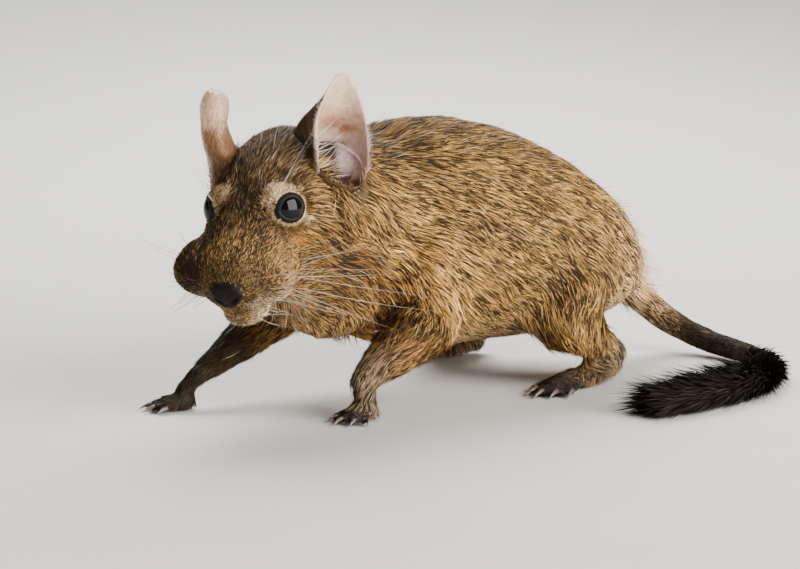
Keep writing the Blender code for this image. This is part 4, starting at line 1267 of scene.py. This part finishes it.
def make_whiskers():
    """Rows of whiskers on each pad: fine, tapered, swept back and longest at the rear, with a
    few over the eye and on the chin."""
    rng = np.random.default_rng(5)
    rows, radii, tints = [], [], []
    steps = 12
    for side, sign in SIDES.items():
        row, place = np.meshgrid(np.arange(4), np.arange(6), indexing="ij")
        row, place = row.ravel(), place.ravel()
        count = len(row)
        x = 4.6 + 1.5 * place + rng.normal(0, 0.4, count)
        z = 1.6 - 1.8 * row - 0.16 * place + rng.normal(0, 0.4, count)
        y = sign * (5.0 + 0.62 * place + 0.5 * (2.5 - np.abs(row - 2.5)))
        root = at_head(np.stack([x, y, z], -1))
        out = np.stack([
            0.06 * place + rng.normal(0, 0.16, count),
            np.full(count, float(sign)),
            0.14 - 0.25 * row + rng.normal(0, 0.14, count),
        ], -1)
        bend = np.stack([
            np.full(count, 0.30), np.full(count, -0.06 * sign),
            -0.16 + rng.normal(0, 0.06, count),
        ], -1)
        length = sizes().whisker_length * (0.42 + 0.11 * place) * rng.uniform(0.6, 1.1, count)
        rows.append(hair_paths(root, unit(out) @ HEAD_AXES, bend @ HEAD_AXES, length, steps))
        thick = (0.06 if side == "left" else 0.11) * MM * (0.6 + 0.08 * place)
        radii.append(thick[:, None] * np.linspace(1, 0.12, steps))
        pale = rng.random(count) < (0.75 if side == "left" else 0.15)
        tone = np.where(pale[:, None], (0.62, 0.55, 0.45), (0.05, 0.035, 0.03))
        tints.append(np.repeat(tone[:, None], steps, 1))
    for sign in SIDES.values():
        for middle, out, spread, count, low, high in (
            ((19.5, 8.0, 12.0), (0.15, 0.55, 0.8), 0.5, 4, 9, 15),
            ((9.0, 3.0, -9.5), (0.3, 0.45, -0.7), 1.4, 9, 3, 8),
        ):
            root = np.array(middle) * (1, sign, 1) + rng.normal(0, spread, (count, 3))
            way = unit(np.array(out) * (1, sign, 1) + rng.normal(0, 0.15, (count, 3)))
            bend = np.tile((0.5, sign * 0.05, -0.1), (count, 1))
            length = rng.uniform(low, high, count) * MM
            rows.append(hair_paths(at_head(root), way @ HEAD_AXES, bend @ HEAD_AXES, length,
                                   steps))
            radii.append(np.full((count, 1), 0.045 * MM) * np.linspace(1, 0.15, steps))
            tints.append(np.tile((0.55, 0.48, 0.40), (count, steps, 1)))
    rows = np.concatenate(rows)
    rows[..., 2] = np.maximum(rows[..., 2], 0.6 * MM)
    return strands("whiskers", rows, np.concatenate(radii), np.concatenate(tints), 5)


def make_ear_fringe(side):
    """Long pale hairs from the front edge of the ear across its opening, and short ones that
    stand out of its rims."""
    _, rise, facing, across = ear_axes(side)
    rng = np.random.default_rng(31 if side == "left" else 37)
    front, steps = ear_front(side), 8
    long, short = 20, 150
    count = long + short
    first = np.arange(count) < long
    share = np.where(first, rng.uniform(0.10, 0.46, count), rng.uniform(0.15, 0.97, count))
    edge = np.where(first, front, rng.choice((-1, 1), count, p=(0.5, 0.5)))
    root = ear_points(side, share, edge * np.where(first, 0.93, 0.99), np.zeros(count))
    up = unit(rise)
    into = (
        across * -front * 0.85 + up * rng.uniform(-0.15, 0.8, (count, 1))
        + facing * rng.uniform(0.10, 0.45, (count, 1))
    )
    off = (
        across * edge[:, None] * 0.6 + facing * 0.2 + up * rng.uniform(0.3, 0.9, (count, 1))
        + rng.normal(0, 0.15, (count, 3))
    )
    out = unit(np.where(first[:, None], into, off))
    bend = facing * -0.15 + up * 0.1 + rng.normal(0, 0.05, (count, 3))
    length = np.where(first, rng.uniform(4, 8.5, count), rng.uniform(0.8, 1.8, count)) * MM
    paths = hair_paths(at_head(root), out @ HEAD_AXES, bend @ HEAD_AXES, length, steps)
    thick = np.where(first, 0.065, 0.035)[:, None] * MM
    tints = np.tile((0.88, 0.84, 0.76), (count, steps, 1)) * rng.uniform(0.7, 1.1, (count, 1, 1))
    return strands(f"ear_fringe_{side}", paths, thick * np.linspace(1, 0.15, steps), tints)


def make_eye(side):
    """A ball with a slightly raised cornea: rings about the way it looks out."""
    rows, columns = 49, 64
    tilt = np.linspace(0, np.pi, rows)[:, None]
    turn = (math.tau * np.arange(columns) / columns)[None]
    bulge = 0.16 * (1 - eased(tilt, 0.35, 1.0))
    radius = (EYE_RADIUS - 0.05 + bulge) * MM
    front, up, outward = eye_axes(side)
    ring = front * np.cos(turn)[..., None] + up * np.sin(turn)[..., None]
    points = radius[..., None] * (
        outward * np.cos(tilt)[..., None] + ring * np.sin(tilt)[..., None]
    ) + at_head(on_side(EYE_CENTRE, side))
    iris = eased(tilt, 0.45, 0.62) * (1 - eased(tilt, 1.15, 1.3)) + 0 * turn
    tint = mixed((0.003, 0.003, 0.004), (0.012, 0.007, 0.005), iris)
    return facing_out(new_mesh(
        f"eye_{side}_ball", points.reshape(-1, 3), [grid_faces(rows, columns)],
        tint.reshape(-1, 3)))


def make_claws():
    """A curved horn at the end of each toe: rings that shrink along a falling arc."""
    rows, radii = [], []
    steps = 9
    for bones_of, plan in ((FORELEGS, FOREFOOT), (HINDLEGS, HINDFOOT)):
        for side in SIDES:
            ahead, aside = foot_axes(plan, side)
            joint = np.array(bones_of[side][-1][:3]) * (1, 1, 0)
            palm, toe_radius = plan["palm"], plan["toe_radius"]
            for across, length, spread in plan["toes"]:
                angle = math.radians(spread)
                way = ahead * math.cos(angle) + aside * math.sin(angle)
                root = joint + ahead * (plan["reach"] + 0.62 * palm[0] - 0.5 * abs(across))
                root = root + aside * across + way * length * 0.92 + (0, 0, toe_radius * 1.15)
                t = np.linspace(0, 1, steps)[:, None]
                path = root + way * plan["claw"] * 1.15 * (t - 0.25)
                path = path - np.array((0, 0, root[2] - 0.35)) * t**2.1
                rows.append(placed(path))
                radii.append(toe_radius * 0.52 * (1 - 0.86 * t[:, 0]) * MM)
    tint = np.tile(mixed((0.10, 0.07, 0.055), (0.30, 0.24, 0.19), np.linspace(0, 1, steps)),
                   (len(rows), 1, 1))
    return strands("claws", np.array(rows), np.array(radii), tint, 8)


def brush_line():
    """The line of the tail's brush, from where it starts to its tip, and its radius."""
    rows = curve((*TAIL_BONES[4:], TAIL_TIP), 8)
    places = placed(rows[:, :3])
    share = np.linspace(0, 1, len(rows))
    return places, np.interp(share, (0, 0.25, 0.7, 1), (2.0, 2.4, 2.2, 0.6)) * MM


def make_brush():
    """The black brush of the tail: long tufts on all sides of its core, laid back along it."""
    line, radius = brush_line()
    rng = np.random.default_rng(17)
    count = BRUSH_TUFTS
    at = rng.random(count) ** 0.8 * (len(line) - 2)
    low = at.astype(int)
    part = (at - low)[:, None]
    centre = line[low] * (1 - part) + line[low + 1] * part
    ahead = unit(line[low + 1] - line[low])
    aside = unit(np.cross((0, 0, 1), ahead))
    over = np.cross(ahead, aside)
    turn = rng.uniform(0, math.tau, count)
    out = aside * np.cos(turn)[:, None] + over * np.sin(turn)[:, None]
    size = np.interp(at, np.arange(len(line)), radius)
    root = centre + out * (size * rng.uniform(0.5, 0.95, count))[:, None]
    share = at / (len(line) - 2)
    way = unit(ahead + out * rng.uniform(0.05, 0.42, (count, 1)))
    length = (7 + 8 * eased(share, 0.05, 0.6)) * rng.uniform(0.6, 1.15, count) * MM
    points = tuft_points(
        root, way, out, length, np.full(count, 0.2 * MM),
        np.radians(rng.uniform(4, 14, count)), 0.5, rng,
    )
    tint = np.array(BRUSH_HAIR) * np.exp(rng.normal(0, 0.5, (count, 1)))
    early = (rng.random(count) < 0.35 * (1 - eased(share, 0.0, 0.35)))[:, None]
    tint = np.repeat(np.where(early, BRUSH_START_HAIR, tint)[:, None], 5, 1)
    return make_tufts("tail_brush_hair", points, on_map(turn / math.tau, share), tint)


def make_brush_core():
    """The end of the tail inside its brush."""
    line, radius = brush_line()
    tint = np.tile(BRUSH_HAIR, (1, len(line), 1))
    return strands("tail_brush_core", line[None], radius[None] * 0.8, tint, 16)


def set_inputs(node, **values):
    """Sets inputs of a shader node by name, with _ for each space."""
    for name, value in values.items():
        node.inputs[name.replace("_", " ")].default_value = value


def new_node(tree, kind, **values):
    """Adds a shader node and sets its inputs."""
    made = tree.nodes.new(kind)
    set_inputs(made, **values)
    return made


def mottle_group():
    """Shared effect: a base colour broken up by fine noise, and the noise as a height."""
    group = bpy.data.node_groups.new("mottle", "ShaderNodeTree")
    for name, end, kind in (
        ("Colour", "INPUT", "Color"), ("Scale", "INPUT", "Float"), ("Amount", "INPUT", "Float"),
        ("Colour", "OUTPUT", "Color"), ("Height", "OUTPUT", "Float"),
    ):
        group.interface.new_socket(name, in_out=end, socket_type=f"NodeSocket{kind}")
    inputs, outputs = new_node(group, "NodeGroupInput"), new_node(group, "NodeGroupOutput")
    place = new_node(group, "ShaderNodeTexCoord")
    noise = new_node(group, "ShaderNodeTexNoise", Detail=4, Roughness=0.6)
    spread = new_node(group, "ShaderNodeMapRange", From_Min=0.3, From_Max=0.7)
    centred, brighter = new_node(group, "ShaderNodeMath"), new_node(group, "ShaderNodeMath")
    centred.operation, brighter.operation = "SUBTRACT", "MULTIPLY_ADD"
    centred.inputs[1].default_value = 0.5
    brighter.inputs[2].default_value = 1.0
    scaled = new_node(group, "ShaderNodeVectorMath")
    scaled.operation = "SCALE"
    link = group.links.new
    link(place.outputs["Object"], noise.inputs["Vector"])
    link(inputs.outputs["Scale"], noise.inputs["Scale"])
    link(noise.outputs["Fac"], spread.inputs["Value"])
    link(spread.outputs["Result"], centred.inputs[0])
    link(centred.outputs[0], brighter.inputs[0])
    link(inputs.outputs["Amount"], brighter.inputs[1])
    link(inputs.outputs["Colour"], scaled.inputs[0])
    link(brighter.outputs[0], scaled.inputs["Scale"])
    link(scaled.outputs[0], outputs.inputs["Colour"])
    link(spread.outputs["Result"], outputs.inputs["Height"])
    return group


def surface(name, roughness, mottle, scale, bump=0.0, **shine):
    """A material that reads the piece's painted colours, broken up by the mottle group."""
    made = bpy.data.materials.new(name)
    made.use_nodes = True
    tree = made.node_tree
    shader = tree.nodes["Principled BSDF"]
    set_inputs(shader, Roughness=roughness, **shine)
    painted = new_node(tree, "ShaderNodeAttribute")
    painted.attribute_name = "coat"
    effect = new_node(tree, "ShaderNodeGroup")
    effect.node_tree = bpy.data.node_groups.get("mottle") or mottle_group()
    set_inputs(effect, Scale=scale, Amount=mottle)
    link = tree.links.new
    link(painted.outputs["Color"], effect.inputs["Colour"])
    link(effect.outputs["Colour"], shader.inputs["Base Color"])
    if bump:
        relief = new_node(tree, "ShaderNodeBump", Strength=1.0, Distance=bump)
        link(effect.outputs["Height"], relief.inputs["Height"])
        link(relief.outputs["Normal"], shader.inputs["Normal"])
    return made


class DEGU_OT_skin(bpy.types.Operator):
    """Makes the skin over the flesh of the solids"""

    bl_idname = "degu.skin"
    bl_label = "Skin"

    def execute(self, context):
        skin = make_skin()
        made = surface("skin", 0.6, 0.5, 900, 0.08 * MM, Specular_IOR_Level=0.15)
        skin.data.materials.clear()
        finish(skin, made, *FLESH, slot="fur")
        return {"FINISHED"}


class DEGU_OT_coat(bpy.types.Operator):
    """Grows the coat on the skin"""

    bl_idname = "degu.coat"
    bl_label = "Coat"

    def execute(self, context):
        made = surface("coat", 0.65, 0.25, 2500, Specular_IOR_Level=0.1)
        for piece in make_coat(bpy.data.objects["skin"]):
            finish(piece, made)
        for side in SIDES:
            finish(make_ear_fur(side), made)
        return {"FINISHED"}


class DEGU_OT_ears(bpy.types.Operator):
    """Makes the ears and the pale hairs across their openings"""

    bl_idname = "degu.ears"
    bl_label = "Ears"

    def execute(self, context):
        bare = surface(
            "ear_skin", 0.42, 0.35, 700, 0.05 * MM, Subsurface_Weight=0.2,
            Subsurface_Scale=1.2 * MM, Specular_IOR_Level=0.4,
            Subsurface_Radius=(1.0, 0.35, 0.2),
        )
        pale = surface("ear_hair", 0.4, 0.2, 1500, Specular_IOR_Level=0.5)
        for side in SIDES:
            finish(make_ear(side), bare, f"ear_{side}", slot="ear_skin")
            finish(make_ear_fringe(side), pale)
        return {"FINISHED"}


class DEGU_OT_eyes(bpy.types.Operator):
    """Makes the dark, wet eyes"""

    bl_idname = "degu.eyes"
    bl_label = "Eyes"

    def execute(self, context):
        wet = surface("eye", 0.03, 0.2, 500, Specular_IOR_Level=0.22, IOR=1.45)
        for side in SIDES:
            finish(make_eye(side), wet, f"eye_{side}", slot="eye")
        return {"FINISHED"}


class DEGU_OT_hairs(bpy.types.Operator):
    """Makes the whiskers and the claws"""

    bl_idname = "degu.hairs"
    bl_label = "Whiskers and claws"

    def execute(self, context):
        hair = surface("whisker", 0.35, 0.2, 1500, Specular_IOR_Level=0.5)
        horn = surface("claw", 0.3, 0.4, 1800, 0.02 * MM, Specular_IOR_Level=0.5)
        finish(make_whiskers(), hair)
        finish(make_claws(), horn)
        return {"FINISHED"}


class DEGU_OT_brush(bpy.types.Operator):
    """Makes the black brush of the tail"""

    bl_idname = "degu.brush"
    bl_label = "Brush"

    def execute(self, context):
        made = surface("brush", 0.42, 0.3, 2500, Specular_IOR_Level=0.4)
        finish(make_brush(), made, "tail_brush", slot="dark_fur")
        finish(make_brush_core(), made)
        return {"FINISHED"}


CAMERA_AZIMUTH, CAMERA_ELEVATION = math.radians(-40), math.radians(8)
CAMERA_DISTANCE = 0.394
PICTURE = (800, 569)
NOSE_PIXEL = (225, 298)
LENS, SENSOR = 85, 36


def camera_axes():
    """The ways right, up and back of the camera."""
    a, e = CAMERA_AZIMUTH, CAMERA_ELEVATION
    back = np.array((math.sin(a) * math.cos(e), -math.cos(a) * math.cos(e), math.sin(e)))
    right = np.array((math.cos(a), math.sin(a), 0))
    return right, np.cross(back, right), back


def make_camera():
    """The camera sees the tip of the nose at its pixel of the picture, from its distance."""
    right, up, back = camera_axes()
    focal = LENS / SENSOR * PICTURE[0]
    aside = (NOSE_PIXEL[0] - PICTURE[0] / 2) / focal * CAMERA_DISTANCE
    above = (PICTURE[1] / 2 - NOSE_PIXEL[1]) / focal * CAMERA_DISTANCE
    place = NOSE + back * CAMERA_DISTANCE - right * aside - up * above
    data = bpy.data.cameras.new("camera")
    data.lens, data.sensor_width = LENS, SENSOR
    data.clip_start = 0.01
    camera = bpy.data.objects.new("camera", data)
    bpy.context.scene.collection.objects.link(camera)
    turn = Matrix(np.array((right, up, back)).T).to_4x4()
    camera.matrix_world = Matrix.Translation(Vector(place)) @ turn
    bpy.context.scene.camera = camera


def make_light(name, place, size, power, colour, target):
    """A soft square lamp that faces the target."""
    data = bpy.data.lights.new(name, "AREA")
    data.shape = "SQUARE"
    data.size, data.energy, data.color = size, power, colour
    lamp = bpy.data.objects.new(name, data)
    bpy.context.scene.collection.objects.link(lamp)
    back = Vector(place) - Vector(target)
    lamp.matrix_world = Matrix.Translation(Vector(place)) @ back.to_track_quat(
        "Z", "Y").to_matrix().to_4x4()


def make_sweep():
    """A floor that curves up into a wall behind the animal, as seen from the camera: a straight
    run, a quarter of a circle and a wall, drawn out sideways."""
    right, _, back = camera_axes()
    away = -unit(back * (1, 1, 0))
    start, straight, radius, height, half = -3.0, 0.35, 1.2, 3.0, 5.0
    turn = np.radians(np.linspace(0, 90, 25))
    run = np.concatenate([[start], straight + radius * np.sin(turn), [straight + radius]])
    rise = np.concatenate([[0.0], radius * (1 - np.cos(turn)), [height]])
    side = np.array((-half, half))
    points = (
        away * run[:, None, None] + np.array((0, 0, 1.0)) * rise[:, None, None]
        + right * side[None, :, None]
    )
    faces = grid_faces(len(run), 2, closed=False)[:, ::-1]
    return new_mesh("floor", points.reshape(-1, 3), [faces],
                    np.tile((0.74, 0.73, 0.71), (2 * len(run), 1)))


class DEGU_OT_stage(bpy.types.Operator):
    """Makes the floor, the lights and the camera"""

    bl_idname = "degu.stage"
    bl_label = "Stage"

    def execute(self, context):
        floor = make_sweep()
        floor.data.materials.append(surface("floor", 0.8, 0.03, 40))
        floor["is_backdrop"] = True
        right, up, back = camera_axes()
        target = NOSE + np.array((0.04, 0.02, 0.01))

        def lamp(name, across, above, toward, size, power, colour):
            place = target + right * across + np.array((0, 0, above)) + back * toward
            make_light(name, place, size, power, colour, target)

        # The near eye mirrors the key lamp, a window to the right, where the photo shows it.
        lamp("key", 0.66, 0.20, 0.42, 0.72, 19.0, (1.0, 0.965, 0.91))
        lamp("rim", 0.05, 0.55, -0.55, 0.45, 6.0, (1.0, 0.98, 0.95))
        lamp("wall", -0.3, 1.2, -0.8, 0.8, 14.0, (1.0, 0.99, 0.97))
        world = bpy.data.worlds.new("room")
        context.scene.world = world
        world.use_nodes = True
        room = world.node_tree.nodes["Background"]
        set_inputs(room, Color=(0.88, 0.93, 1.0, 1), Strength=0.12)
        make_camera()
        return {"FINISHED"}


class DEGU_PT_panel(bpy.types.Panel):
    """Lists the steps that build the degu"""

    bl_idname = "DEGU_PT_panel"
    bl_label = "Degu"
    bl_space_type = "VIEW_3D"
    bl_region_type = "UI"
    bl_category = "Degu"

    def draw(self, context):
        for step in STEPS:
            self.layout.operator(step.bl_idname)
        for group in (context.scene.degu_sizes, context.scene.degu_colours):
            for name in group.__annotations__:
                self.layout.prop(group, name)


STEPS = (
    DEGU_OT_skin, DEGU_OT_coat, DEGU_OT_ears, DEGU_OT_eyes, DEGU_OT_hairs, DEGU_OT_brush,
    DEGU_OT_stage,
)
CLASSES = (DeguSizes, DeguColours, *STEPS, DEGU_PT_panel)


def register():
    for made in CLASSES:
        bpy.utils.register_class(made)
    bpy.types.Scene.degu_sizes = PointerProperty(type=DeguSizes)
    bpy.types.Scene.degu_colours = PointerProperty(type=DeguColours)


def unregister():
    del bpy.types.Scene.degu_colours
    del bpy.types.Scene.degu_sizes
    for made in reversed(CLASSES):
        bpy.utils.unregister_class(made)


def main():
    register()
    for step in (
        bpy.ops.degu.stage, bpy.ops.degu.skin, bpy.ops.degu.coat, bpy.ops.degu.ears,
        bpy.ops.degu.eyes, bpy.ops.degu.hairs, bpy.ops.degu.brush,
    ):
        step()
    boxes = {"cad": CAD_BOX, "visual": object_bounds()}
    {name: [list(low), list(high)] for name, (low, high) in boxes.items()}


if __name__ == "__main__":
    main()
